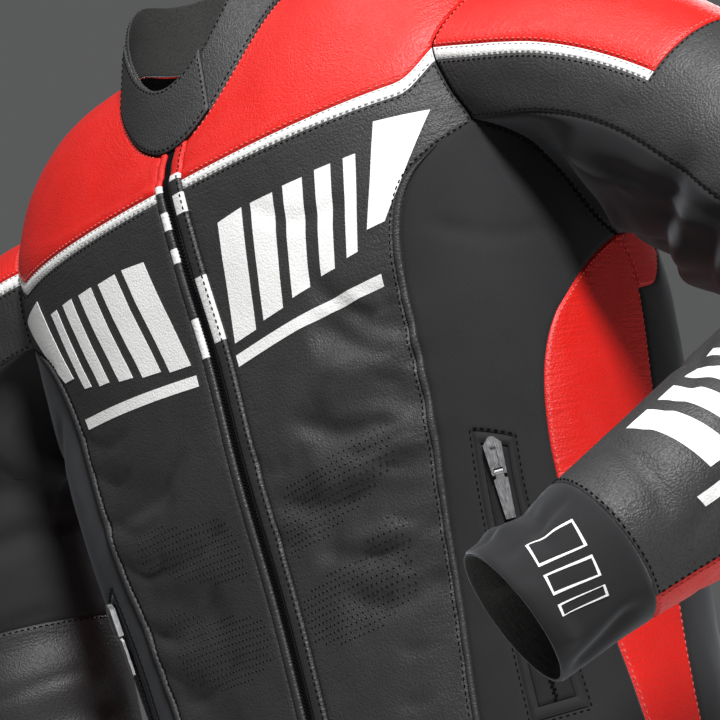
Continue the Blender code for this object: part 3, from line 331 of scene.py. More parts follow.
# Rings of a hole's rim, as share of its radius and height, then the heights of its dark disc of painted shade
# and of its foot
HOLE_RINGS = ((1.5, -0.0003), (1.2, 0.00008), (1.0, 0.00011))
HOLE_SHADE_HEIGHT, HOLE_FOOT = 0.00009, -0.0003

# Small things on the cloth
STITCH = (0.0028, 0.00044)      # length and radius
STITCH_PITCH = 0.0040
STITCH_INSET, STRIP_INSET = 0.0019, 0.0012      # distance from the seam, wide and narrow pieces
CORNER_SHARE = 0.86             # stitches nearer than this share of their inset are left out
LONGEST_STEP = 0.012            # a longer step along a border is no seam
TOOTH = (0.0011, 0.0021, 0.0008)        # length along the zip, width and height
TOOTH_PITCH, TOOTH_OFFSET = 0.0022, 0.0008
ZIP_START, ZIP_END = 0.004, 0.655       # distance up the cloth
POCKET_TOOTH = (0.0010, 0.0020, 0.0008)
POCKET_PITCH, POCKET_OFFSET, POCKET_TOP = 0.0018, 0.0005, 0.2600
TOOTH_DROP = 0.0001
POCKET_START = 0.002    # from the slit's lower end
BAR_RISE, BAR_SHARP = 0.0003, 40.0      # height, and the angle in degrees from which edges are sharp
BAR_CELL, OUTLINE_CELL = 0.0024, 0.0012
OUTLINE = 0.0012
DROP_HEIGHT, DROP_REACH = 0.008, 0.020  # from how high and how far things are dropped on the cloth
# Stitched places of the side panel: bearings and distances up the cloth round the pocket
POCKET_STITCHES = ((57.0, 68.0), (0.120, 0.305))
HOLE_STITCHES = (76.0, 0.006)           # from this bearing on, this far below the armhole
FACING_STITCHES, PANEL_STITCHES = 4.2, 9.0       # from these bearings on
SLEEVE_STITCHES = 0.006                 # up to this distance along the arm
RED_PIECES = ("front_yoke", "side_leaf", "underarm_strap", "back_yoke", "sleeve_cap", "forearm_under")
UNSEWN_PIECES = ("zip_tape", "pocket_zip", "pocket_welt", "cuff", "back_side", "zip_facing_right",
                 "front_piping")

# Colours, and the leather's grain: cells a metre, depth, and wrinkles across and along a seam
GRAIN_SCALE, GRAIN_DEPTH = 860.0, 0.00052
WRINKLES = (70.0, 430.0, 1.0)
BLACK, RED, WHITE = (0.026, 0.026, 0.027), (0.60, 0.010, 0.006), (0.78, 0.78, 0.77)
# The black thread is darker than the black leather: partly the thread's own black and partly painted shade,
# so that the stitches read as sunken dips. The zips' teeth take the same colour.
THREADS = {"black": (0.006, 0.006, 0.007), "red": (0.70, 0.12, 0.11), "white": (0.36, 0.36, 0.36)}
INSIDE, STRETCH_BLACK, TAPE_BLACK = (0.035, 0.034, 0.033), (0.013, 0.013, 0.014), (0.008, 0.008, 0.009)
# The holes' colour is painted shade: a near-black disc standing in for the shadowed inside of each hole
HOLE_SHADE, STEEL = (0.002, 0.002, 0.002), (0.40, 0.40, 0.41)
# Colour bands of the facings: each from its distance up the cloth on, up to the next
BANDS_LEFT = ((0.398, WHITE), (0.440, BLACK), (0.476, WHITE), (0.490, BLACK), (0.506, WHITE), (0.521, RED))
BANDS_RIGHT = ((0.393, WHITE), (0.416, BLACK), (0.452, WHITE), (0.462, BLACK), (0.473, WHITE),
               (0.483, BLACK), (0.499, WHITE), (0.511, RED))
FACING_LENGTH = 0.70    # length over which the bands are counted

# Each kind of sewn piece, by the first part of its name: material, wall, rise of its face,
# unevenness, flat width, length and area, and the half width of its crown where it has one
KINDS = {
    "waistband": ("black_leather", LEATHER, 0.0, 1.0, (0.045, 1.070, 0.0475), None),
    "zip_tape": ("zip_tape", TAPE, TAPE_DROP, 0.0, (0.010, 0.720, 0.0048), None),
    "zip_facing_left": ("facing_left", WELT_WALL, WELT_RISE, 0.3, (0.012, 0.700, 0.0066), 0.0026),
    "zip_facing_right": ("facing_right", WELT_WALL, WELT_RISE, 0.3, (0.010, 0.700, 0.0048), 0.0027),
    "front_panel": ("black_leather", LEATHER, 0.0, 1.0, (0.170, 0.465, 0.0540), None),
    "yoke_strip": ("white_leather", STRIP, 0.0, 0.4, (0.010, 0.200, 0.0012), None),
    "front_yoke": ("red_leather", LEATHER, 0.0, 1.0, (0.185, 0.175, 0.0212), None),
    "front_piping": ("black_leather", WELT_WALL, WELT_RISE, 0.1, (0.010, 0.420, 0.0037), 0.0020),
    "side_stretch": ("stretch_fabric", STRETCH, 0.0, 0.8, (0.115, 0.430, 0.0340), None),
    "pocket_welt": ("stretch_fabric", POCKET_WALL, POCKET_RISE, 0.2, (0.022, 0.170, 0.0026), None),
    "pocket_zip": ("zip_tape", TAPE, TAPE_DROP, 0.0, (0.020, 0.155, 0.0028), None),
    "side_leaf": ("red_leather", LEATHER, 0.0, 0.8, (0.100, 0.350, 0.0239), None),
    "back_side": ("stretch_fabric", STRETCH, 0.0, 0.8, (0.105, 0.420, 0.0336), None),
    "underarm_strap": ("red_leather", LEATHER, 0.0, 0.4, (0.035, 0.060, 0.0017), None),
    "back_panel": ("black_leather", LEATHER, 0.0, 1.0, (0.400, 0.470, 0.1480), None),
    "back_yoke": ("red_leather", LEATHER, 0.0, 1.0, (0.420, 0.200, 0.0618), None),
    "collar_tab": ("black_leather", LEATHER, 0.0, 0.2, (0.105, 0.046, 0.0046), None),
    "collar": ("black_leather", LEATHER, 0.0, 0.6, (0.470, 0.046, 0.0209), None),
    "sleeve_stretch": ("stretch_fabric", STRETCH, 0.0, 1.6, (0.190, 0.280, 0.0350), None),
    "sleeve_cap": ("red_leather", LEATHER, 0.0, 1.0, (0.170, 0.190, 0.0290), None),
    "sleeve_strip": ("white_leather", STRIP, 0.0, 0.4, (0.012, 0.140, 0.0014), None),
    "sleeve_outer": ("black_leather", LEATHER, 0.0, 1.0, (0.230, 0.280, 0.0410), None),
    "forearm_under": ("red_leather", LEATHER, 0.0, 0.8, (0.120, 0.310, 0.0280), None),
    "forearm_upper": ("black_leather", LEATHER, 0.0, 0.8, (0.330, 0.310, 0.0730), None),
    "cuff": ("soft_cuff", RIB, 0.0, 0.6, (0.270, 0.060, 0.0158), None),
}


# Camera: turn round, tilt and roll in degrees, then what it looks at
CAMERA_TURN = (37.455, -12.23, 16.215)
CAMERA_TARGET = (0.102, -0.104, -0.260)
CAMERA_DISTANCE = 1.8055
LENS = 157.9

# Stage: each light's name, place, target, size and power
FLOOR_HEIGHT, FLOOR_HALF = -0.92, 3.0
WORLD_LIGHT, WORLD_COLOR, FLOOR_COLOR = 0.11, (0.92, 0.93, 0.94, 1.0), (0.62, 0.62, 0.61)
LIGHTS = (
    ("key", (1.45, -1.00, 1.00), (0.1, -0.05, -0.3), 0.42, 74.0),
    ("top", (-0.1, -0.5, 1.6), (0.0, -0.05, -0.2), 0.60, 11.0),
    ("back", (-0.4, 1.9, 1.0), (0.0, 0.0, -0.2), 1.0, 20.0),
)


def smooth(x):
    """A soft step from 0 to 1."""
    x = np.clip(x, 0.0, 1.0)
    return x * x * (3.0 - 2.0 * x)


def unit(vectors):
    """The same directions with a length of 1."""
    return vectors / np.linalg.norm(vectors, axis=-1, keepdims=True)


def hermite(knots, values, slopes, x):
    """In-between values along the first axis."""
    knots = np.asarray(knots, dtype=float)
    x = np.atleast_1d(x)
    i = np.clip(np.searchsorted(knots, x, side="right") - 1, 0, len(knots) - 2)
    h = knots[i + 1] - knots[i]
    s = (x - knots[i]) / h
    shape = x.shape + (1,) * (values.ndim - 1)
    s, h = s.reshape(shape), h.reshape(shape)
    return ((2 * s ** 3 - 3 * s ** 2 + 1) * values[i] + (s ** 3 - 2 * s ** 2 + s) * h * slopes[i]
            + (3 * s ** 2 - 2 * s ** 3) * values[i + 1] + (s ** 3 - s ** 2) * h * slopes[i + 1])


def curve(table, column, x):
    """A smooth line through one column of a table, at x of its first column."""
    slopes = np.gradient(table[:, column], table[:, 0])
    flat = hermite(table[:, 0], table[:, column], slopes, np.ravel(x))
    return flat.reshape(np.shape(x))


def flow(knots, values, x):
    """A smooth line through all values along the first axis."""
    return hermite(knots, values, np.gradient(values, knots, axis=0), x)


def glide(knots, values, x):
    """The same, but never past its neighbours."""
    step = np.diff(knots).reshape((-1,) + (1,) * (values.ndim - 1))
    rate = np.diff(values, axis=0) / step
    slopes = np.empty_like(values)
    slopes[0], slopes[-1] = rate[0], rate[-1]
    product, total = rate[:-1] * rate[1:], rate[:-1] + rate[1:]
    slopes[1:-1] = np.where(product > 0, 2 * product / np.where(product > 0, total, 1.0), 0.0)
    return hermite(knots, values, slopes, x)


def torso(bearing, along):
    """Points of the garment's outer face. Bearing 0 is the front, 90 the wearer's left."""
    bearing, along = np.broadcast_arrays(np.asarray(bearing, float), np.asarray(along, float))
    height, wide, front, back, n_front, n_back, fall, rise = (
        curve(TORSO, column, along) for column in range(1, 9))
    side, ahead = np.sin(np.radians(bearing)), np.cos(np.radians(bearing))
    deep = np.where(ahead > 0, front, back)
    power = np.where(ahead > 0, n_front, n_back)
    reach = (abs(side / wide) ** power + abs(ahead / deep) ** power) ** (-1.0 / power)
    x, y = reach * side, -reach * ahead
    share = (y / deep) ** 2
    return np.stack((x, y, height + np.where(ahead > 0, -fall, rise) * share), axis=-1)


def bearing_at(x, along):
    """Bearing of the front point that lies x to the side of the middle."""
    low, high = 0.0, 60.0
    for _ in range(24):
        middle = (low + high) / 2
        if torso(middle, along)[0] < x:
            low = middle
        else:
            high = middle
    return high


def level(row, top):
    """Distance up the cloth of a low row, in a column whose top end lies at the given level."""
    plain = LOW_ROWS[row]
    return plain + (top - LOW_ROWS[-1]) * float(smooth((plain - BEND_START) / BEND_LENGTH))


def seam_bearing(seam, along):
    """Bearing of a vertical seam at a level. A number stands for a straight seam."""
    return seam if isinstance(seam, float) else float(curve(seam, 1, along))


def low_place(row, seam_a, seam_b, share, top_a, top_b, hole=None):
    """Bearing and distance up the cloth of a point between two seams, below the armhole."""
    if hole is not None:
        top = float(curve(hole, 1, hole[0, 0] + share * (hole[-1, 0] - hole[0, 0])))
    else:
        top = top_a + share * (top_b - top_a)
    bearing_a = seam_bearing(seam_a, level(row, top_a))
    bearing_b = seam_bearing(seam_b, level(row, top_b))
    return bearing_a + share * (bearing_b - bearing_a), level(row, top)


def front_stations(along, edge, facing):
    """Bearings of the front's columns, from the middle of the zip to the given outer edge."""
    zip_edge = bearing_at(ZIP_HALF, along)
    facing_edge = bearing_at(ZIP_HALF + facing, along)
    return [0.0, zip_edge] + [facing_edge + share * (edge - facing_edge) for share in FRONT_SHARES]


def front_places(facing):
    """Front half: bearing and distance up the cloth for each row and column."""
    rows = []
    for row, along in enumerate(LOW_ROWS):
        edge = seam_bearing(PRINCESS, along)
        if row < PIPING_END:
            edge -= math.degrees(WELT / SEAM_RADIUS)
        rows.append([(bearing, along) for bearing in front_stations(along, edge, facing)])
    for row, (inner, (edge, outer)) in list(enumerate(zip(HIGH_ROWS_FRONT, HOLE_FRONT_HIGH)))[1:]:
        peaked = ARM_ROW + row in (STRIP_ROW, YOKE_ROW)
        shares = [0.0, 0.0] + [max(0.0, (share - PEAK_START) / PEAK_WIDTH) if peaked
                               else float(smooth((share - EASE_START) / EASE_WIDTH))
                               for share in FRONT_SHARES]
        rows.append([(bearing, inner + share * (outer - inner))
                     for bearing, share in zip(front_stations(inner, edge, facing), shares)])
    for along in NECK_ROWS[1:]:
        rows.append([(bearing, along) for bearing in front_stations(along, 90.0, facing)])
    return np.array(rows)


def back_places():
    """Back half, from the back seam or armhole to the middle of the back."""
    top = HIGH_ROWS_BACK[0]
    rows = [[low_place(row, BACK_SEAM, 180.0, share, top, top) for share in BACK_SHARES]
            for row in range(ARM_ROW + 1)]
    for inner, (edge, outer) in list(zip(HIGH_ROWS_BACK, HOLE_BACK_HIGH))[1:]:
        rows.append([(edge + share * (180.0 - edge),
                      inner + (outer - inner) * (1.0 - float(smooth(share / BACK_EASE))))
                     for share in BACK_SHARES])
    for along in NECK_ROWS[1:]:
        rows.append([(90.0 + share * 90.0, along) for share in BACK_SHARES])
    return np.array(rows)


def side_places():
    """The parts below the armhole: front side, leaf and back side."""
    front_top, tip, back_top = LOW_ROWS[-1], HOLE_FRONT_LOW[-1, 1], HIGH_ROWS_BACK[0]
    rows = range(ARM_ROW + 1)
    side = [[low_place(row, PRINCESS, LEAF_FRONT, share, front_top, tip, HOLE_FRONT_LOW)
             for share in SIDE_SHARES] for row in rows]
    leaf = [[low_place(row, LEAF_FRONT, LEAF_BACK, share, tip, tip) for share in THIRD_SHARES]
            for row in rows]
    behind = [[low_place(row, LEAF_BACK, BACK_SEAM, share, tip, back_top, HOLE_BACK_LOW)
               for share in THIRD_SHARES] for row in rows]
    return np.array(side), np.array(leaf), np.array(behind)


def rounded_path(start, corners, step=0.002):
    """Closely spaced points of a path whose corners are rounded by arcs."""
    stops = [np.array(start)] + [np.array(corner[:3]) for corner in corners]
    points = [stops[0]]
    for before, here, after, radius in zip(stops, stops[1:], stops[2:], [c[3] for c in corners]):
        come, leave = unit(here - before), unit(after - here)
        turn = math.acos(float(np.clip(come @ leave, -1.0, 1.0)))
        first = here - come * radius * math.tan(turn / 2)
        toward = unit(leave - come * (come @ leave))
        centre = first + toward * radius
        count = max(2, int(radius * turn / step))
        for k in range(count + 1):
            angle = turn * k / count
            points.append(centre - toward * radius * math.cos(angle) + come * radius * math.sin(angle))
    points.append(stops[-1])
    dense = [points[0]]
    for a, b in zip(points, points[1:]):
        count = max(1, int(np.linalg.norm(b - a) / step))
        dense += [a + (b - a) * (k + 1) / count for k in range(count)]
    return np.array(dense)


def sleeve_rings(loop, corners):
    """Rings of a sleeve. The first ring is the armhole itself."""
    start = (loop.max(axis=0) + loop.min(axis=0)) / 2
    path = rounded_path(start, corners)
    lengths = np.concatenate(([0.0], np.cumsum(np.linalg.norm(np.diff(path, axis=0), axis=1))))
    tangents = unit(np.gradient(path, axis=0))
    ups = [np.array((0.0, 0.0, 1.0))]
    for tangent in tangents:
        ups.append(unit(ups[-1] - tangent * (ups[-1] @ tangent)))
    ups = np.array(ups[1:])
    ahead = np.cross(tangents, ups)
    heights = (loop - start) @ ups[0]
    depths = (loop - start) @ ahead[0]
    angles = np.unwrap(np.arctan2(depths / SLEEVE[0, 2], heights / SLEEVE[0, 1]))
    even = np.concatenate(([0.0], np.cumsum(COLUMN_SHARES)[:-1])) / COLUMN_SHARES.sum() * 2 * math.pi
    even *= np.sign(angles[-1] - angles[0])
    even += np.mean(angles - even)
    rings = []
    for distance in SLEEVE_ROWS:
        i = int(np.argmin(abs(lengths - distance)))
        high, deep = curve(SLEEVE, 1, distance), curve(SLEEVE, 2, distance)
        turned = angles + (even - angles) * smooth(distance / EVEN_OUT)
        ring = (path[i] + high * np.cos(turned)[:, None] * ups[i]
                + deep * np.sin(turned)[:, None] * ahead[i])
        axes = np.array((tangents[i], ups[i], ahead[i]))
        if distance == 0.0:
            misfit = (loop - ring) @ axes.T
        rings.append(ring + (misfit @ axes) * (1.0 - smooth(distance / SETTLE)))
    return np.array(rings)


def placed_cells(knots, lengths, seams, cell):
    """Places of the cloth's fine lines between the knots, closer together at the seams."""
    places = [knots[0]]
    for i, length in enumerate(lengths):
        if length < NARROW:
            turns = [math.pi * k / NARROW_CELLS for k in range(1, NARROW_CELLS + 1)]
            shares = [(1 - math.cos(turn)) / 2 for turn in turns]
        else:
            count = max(2, round(length / cell))
            shares = {k / count for k in range(1, count + 1)}
            near = [offset / length for offset in SEAM_LINES]
            if i in seams:
                shares |= set(near)
            if i + 1 in seams:
                shares |= {1 - share for share in near}
            shares = sorted(shares)
            least = LEAST_CELL / length
            shares = [a for a, b in zip(shares, shares[1:] + [2.0]) if b - a > least]
        places += [knots[i] + share * (knots[i + 1] - knots[i]) for share in shares]
    return np.array(places)


def between(lines, low, high):
    """Which lines lie from low to high, both ends included."""
    return (lines >= low - 1e-9) & (lines <= high + 1e-9)


class BodyGrid:
    """A part of the body: a grid of bearings and distances up the cloth, evaluated finely."""

    def __init__(self, places, levels, row_seams, column_seams, cell, hand):
        self.places, self.levels = places, np.array(levels)
        self.columns = np.arange(places.shape[1], dtype=float)
        self.sign = -1.0 if hand == "right" else 1.0
        points = torso(places[..., 0], places[..., 1])
        down = np.linalg.norm(np.diff(points, axis=0), axis=2).mean(axis=1)
        across = np.linalg.norm(np.diff(points, axis=1), axis=2)[:ARM_ROW].mean(axis=0)
        self.fine_rows = placed_cells(self.levels, down, row_seams, cell)
        self.fine_columns = placed_cells(self.columns, across, column_seams, cell)

    def block(self, first_row, last_row, first_column, last_column):
        rows = self.fine_rows[between(self.fine_rows, self.levels[first_row], self.levels[last_row])]
        columns = self.fine_columns[between(self.fine_columns, first_column, last_column)]
        places = glide(self.levels, self.places, rows)
        places = glide(self.columns, places.swapaxes(0, 1), columns).swapaxes(0, 1)
        return self.face(places[..., 0], places[..., 1])

    def face(self, bearing, along):
        """Points, directions out of the cloth, and the cloth's own flat coordinates."""
        return body_face(self.sign, bearing, along)

    def top_edge(self, columns):
        """Unmirrored points of the top edge at the given columns."""
        places = glide(self.columns, self.places[-1], columns)
        return torso(places[:, 0], places[:, 1])

    def side_edge(self, rows, column):
        """Unmirrored points of one column at the given rows."""
        levels = np.interp(rows, np.arange(len(self.levels)), self.levels)
        places = glide(self.levels, self.places[:, column], levels)
        return torso(places[:, 0], places[:, 1])


def body_face(sign, bearing, along):
    """Points of the body on one side, with directions out and flat coordinates."""
    points = torso(bearing, along)
    turn = torso(bearing + PROBE_TURN, along) - torso(bearing - PROBE_TURN, along)
    climb = torso(bearing, along + PROBE_CLIMB) - torso(bearing, along - PROBE_CLIMB)
    out = unit(np.cross(turn, climb))
    mirror = np.array((sign, 1.0, 1.0))
    flat = np.stack((sign * bearing * FLAT_DEGREE, along), axis=-1)
    return points * mirror, out * mirror, flat


class RingGrid:
    """A sleeve or the collar: a grid of points, evaluated finely."""

    def __init__(self, points, row_knots, column_knots, row_seams, column_seams, cell, hand, first=None):
        sign = -1.0 if hand == "right" else 1.0
        self.points = points * np.array((sign, 1.0, 1.0))
        self.rows, self.columns = np.array(row_knots), np.array(column_knots, dtype=float)
        self.closed = first is not None
        down = np.linalg.norm(np.diff(points, axis=0), axis=2).mean(axis=1)
        across = np.linalg.norm(np.diff(points, axis=1), axis=2).mean(axis=0)
        self.fine_rows = placed_cells(self.rows, down, row_seams, cell)
        self.fine_columns = placed_cells(self.columns, across, column_seams, cell)
        fine = self.sample(self.fine_rows, self.fine_columns)
        if self.closed:
            gap = first(self.fine_columns) * np.array((sign, 1.0, 1.0)) - fine[0]
            fade = 1.0 - smooth(self.fine_rows / ARMHOLE_FADE)
            fine = fine + fade[:, None, None] * gap[None]
        self.fine = fine
        out = unit(np.cross(np.gradient(fine, axis=0), self.along_columns(fine)))
        middle = fine.mean(axis=1, keepdims=True)
        outward = np.sum(out * (fine - middle), axis=-1).mean()
        self.out = out if outward > 0 else -out

    def sample(self, rows, columns):
        points = flow(self.rows, self.points, rows)
        if self.closed:
            points = np.concatenate((points[:, -3:-1], points, points[:, 1:3]), axis=1)
            step = self.columns[-1]
            knots = np.concatenate((self.columns[-3:-1] - step, self.columns, self.columns[1:3] + step))
        else:
            knots = self.columns
        return flow(knots, points.swapaxes(0, 1), columns).swapaxes(0, 1)

    def along_columns(self, fine):
        if not self.closed:
            return np.gradient(fine, axis=1)
        around = np.concatenate((fine[:, -2:-1], fine, fine[:, 1:2]), axis=1)
        return (around[:, 2:] - around[:, :-2]) / 2

    def block(self, first_row, last_row, first_column, last_column):
        rows = between(self.fine_rows, self.rows[first_row], self.rows[last_row])
        columns = between(self.fine_columns, self.columns[first_column], self.columns[last_column])
        pick = np.ix_(rows, columns)
        flat = np.stack(np.meshgrid(self.fine_columns[columns] * FLAT_COLUMN, self.fine_rows[rows]), axis=-1)
        return self.fine[pick], self.out[pick], flat

    def place(self, distance, column):
        """One point per distance along the arm and column round it, with its direction out."""
        row = np.interp(distance, self.fine_rows, np.arange(len(self.fine_rows)))
        step = np.interp(column, self.fine_columns, np.arange(len(self.fine_columns)))
        i = np.clip(row.astype(int), 0, len(self.fine_rows) - 2)
        j = np.clip(step.astype(int), 0, len(self.fine_columns) - 2)
        down, across = (row - i)[..., None], (step - j)[..., None]
        results = []
        for grid in (self.fine, self.out):
            results.append((1 - down) * ((1 - across) * grid[i, j] + across * grid[i, j + 1])
                           + down * ((1 - across) * grid[i + 1, j] + across * grid[i + 1, j + 1]))
        return results[0], unit(results[1])


def armhole_place(front, back, side, behind, column):
    """Points of the armhole for columns counted from the armpit forward and round."""
    column = np.asarray(column, dtype=float)
    parts = (
        (0, HOLE_SEAM, lambda c: side.top_edge(HOLE_SEAM - c)),
        (HOLE_SEAM, HOLE_SHOULDER, lambda c: front.side_edge(ARM_ROW + c - HOLE_SEAM, FRONT_EDGE)),
        (HOLE_SHOULDER, HOLE_REAR, lambda c: back.side_edge(SHOULDER_ROW - (c - HOLE_SHOULDER), 0)),
        (HOLE_REAR, ROUND, lambda c: behind.top_edge(ROUND - c)),
    )
    points = np.zeros(column.shape + (3,))
    for low, high, place in parts:
        chosen = (column >= low) & (column <= high)
        points[chosen] = place(column[chosen])
    return points


def crease_lines(sleeves, body_rows, sleeve_rows):
    """The middle line of every fold, as points on the cloth, with its depth and half width."""
    shares = np.linspace(0.0, 1.0, 9)
    lines = []
    for side, bearing_a, along_a, bearing_b, along_b, depth, half in body_rows:
        sag = np.sin(np.pi * shares) * SAG * (1 if depth > 0 else -1)
        line = torso(bearing_a + shares * (bearing_b - bearing_a),
                     along_a + shares * (along_b - along_a) - sag * (half < LARGE_FOLD))
        lines.append((line * np.array((side, 1.0, 1.0)), depth, half))
    for hand, distance_a, column_a, distance_b, column_b, depth, half in sleeve_rows:
        line, _ = sleeves[hand].place(distance_a + shares * (distance_b - distance_a),
                                      column_a + shares * (column_b - column_a))
        lines.append((line, depth, half))
    return lines


def crease_depths(points, lines):
    """How deep every point is pressed in by all folds together."""
    flat = points.reshape(-1, 3)
    depths = np.zeros(len(flat))
    for line, depth, half in lines:
        low, high = line.min(axis=0) - FOLD_REACH * half, line.max(axis=0) + FOLD_REACH * half
        near = np.flatnonzero(np.all((flat > low) & (flat < high), axis=1))
        if not len(near):
            continue
        some = flat[near]
        nearest = np.full(len(some), np.inf)
        place = np.zeros(len(some))
        for k, (a, b) in enumerate(zip(line, line[1:])):
            share = np.clip(((some - a) @ (b - a)) / ((b - a) @ (b - a)), 0.0, 1.0)
            gap = np.linalg.norm(some - a - share[:, None] * (b - a), axis=1)
            closer = gap < nearest
            nearest = np.where(closer, gap, nearest)
            place = np.where(closer, (k + share) / (len(line) - 1), place)
        fade = smooth(np.minimum(place, 1.0 - place) / FOLD_FADE + FOLD_END)
        depths[near] += depth * fade * np.exp(-(nearest / half) ** 2)
    return depths.reshape(points.shape[:-1])


def nearest_of(points, chosen):
    """A search tree of some of the points, each under its own number."""
    tree = kdtree.KDTree(len(chosen))
    for k in chosen:
        tree.insert(points[k], k)
    tree.balance()
    return tree


def border_distance(points, quads):
    """Distance of every point from its piece's border, and the border's edges."""
    edges = np.concatenate([quads[:, (k, (k + 1) % 4)] for k in range(4)])
    keys = np.sort(edges, axis=1)
    _, first, counts = np.unique(keys[:, 0] * len(points) + keys[:, 1], return_index=True,
                                 return_counts=True)
    border = edges[first[counts == 1]]
    after = {int(a): int(b) for a, b in border}
    before = {int(b): int(a) for a, b in border}
    tree = nearest_of(points, after)
    nearest = np.array([tree.find(point)[1] for point in points.tolist()])
    distances = np.full(len(points), np.inf)
    for neighbours in (after, before):
        other = np.array([neighbours.get(int(k), int(k)) for k in nearest])
        a, way = points[nearest], points[other] - points[nearest]
        share = np.sum((points - a) * way, axis=1) / np.maximum(np.sum(way * way, axis=1), 1e-12)
        gap = points - a - np.clip(share, 0.0, 1.0)[:, None] * way
        distances = np.minimum(distances, np.linalg.norm(gap, axis=1))
    return distances, border


def grid_faces(numbers):
    """The four-cornered faces of a grid of numbered points."""
    return np.stack((numbers[:-1, :-1], numbers[:-1, 1:], numbers[1:, 1:], numbers[1:, :-1]),
                    axis=-1).reshape(-1, 4)


class Cloth:
    """A piece of cloth: fine blocks welded together, then pressed, edged and thickened."""

    def __init__(self):
        self.points, self.out, self.flat, self.quads = [], [], [], []
        self.count = 0

    def add(self, block):
        points, out, flat = block
        rows, columns = points.shape[:2]
        numbers = self.count + np.arange(rows * columns).reshape(rows, columns)
        quads = grid_faces(numbers)
        i, j = min(rows // 2, rows - 2), min(columns // 2, columns - 2)
        facing = np.cross(points[i, j + 1] - points[i, j], points[i + 1, j] - points[i, j])
        if facing @ out[i, j] < 0:
            quads = quads[:, ::-1]
        self.points.append(points.reshape(-1, 3))
        self.out.append(out.reshape(-1, 3))
        self.flat.append(flat.reshape(-1, 2))
        self.quads.append(quads)
        self.count += rows * columns

    def welded(self):
        points, out, flat = (np.concatenate(part) for part in (self.points, self.out, self.flat))
        quads = np.concatenate(self.quads)
        _, first, inverse = np.unique(np.round(points, 5), axis=0, return_index=True,
                                      return_inverse=True)
        quads = np.ravel(inverse)[quads]
        whole = np.array([len(set(quad)) >= 3 for quad in quads.tolist()])
        return points[first], out[first], flat[first], quads[whole]


def finish_mesh(name, points, faces, materials, slots=None, flat=None):
    """A smooth-shaded mesh object that rides on the jacket."""
    mesh = bpy.data.meshes.new(name)
    mesh.from_pydata(points.tolist() if hasattr(points, "tolist") else points, [], faces)
    for material in materials:
        mesh.materials.append(material)
    mesh.polygons.foreach_set("use_smooth", [True] * len(mesh.polygons))
    if slots is not None:
        mesh.polygons.foreach_set("material_index", slots)
    if flat is not None:
        layer = mesh.uv_layers.new(name="cloth")
        corner = np.empty(len(mesh.loops), dtype=np.int32)
        mesh.loops.foreach_get("vertex_index", corner)
        layer.data.foreach_set("uv", flat[corner].ravel())
    mesh.update()
    piece = bpy.data.objects.new(name, mesh)
    bpy.context.scene.collection.objects.link(piece)
    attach(piece, "jacket")
    return piece


def sewn(name, cloth, lines, wall, rise, uneven, materials, slot, flat_size, crown=None, lift=0.0):
    """One sewn piece: its face rolls in at the seams, and a welt's face is crowned."""
    points, out, flat, quads = cloth.welded()
    depths = crease_depths(points, lines)
    distance, border = border_distance(points, quads)
    broad, fine = WAVES
    waves = np.array([noise.noise(Vector(point) * broad) + 0.5 * noise.noise(Vector(point) * fine)
                      for point in points.tolist()])
    height = rise - depths + uneven * WAVINESS * waves * smooth(distance / WAVE_BORDER)
    if crown is None:
        height -= SEAM_DROP * (1.0 - smooth(distance / SEAM_ROLL)) * (1.0 if lift == 0 else TAB_ROLL)
    else:
        swell = np.clip(distance / crown, 0.0, 1.0)
        height -= (rise + CROWN_DROP) * (1.0 - np.sqrt(np.maximum(1.0 - (1.0 - swell) ** 2, 0.0)))
    outer = points + out * (height + lift)[:, None]
    inner = points + out * (rise - wall - depths + lift)[:, None]
    count = len(points)
    rim = [[b, a, a + count, b + count] for a, b in border.tolist()]
    faces = [list(dict.fromkeys(quad)) for quad in quads.tolist()]
    under = [[k + count for k in reversed(face)] for face in faces]
    slots = [0] * len(faces) + [1] * len(under) + [0] * len(rim)
    piece = finish_mesh(name, np.concatenate((outer, inner)), faces + under + rim, materials, slots,
                        np.concatenate((flat, flat)))
    seam = piece.data.attributes.new("seam", "FLOAT", "POINT")
    pucker = 1.0 - smooth((distance - PUCKER_START) / PUCKER_WIDTH)
    seam.data.foreach_set("value", np.tile(pucker, 2))
    return {"piece": piece, "outer": outer, "out": out, "flat": flat, "border": border, "faces": faces}


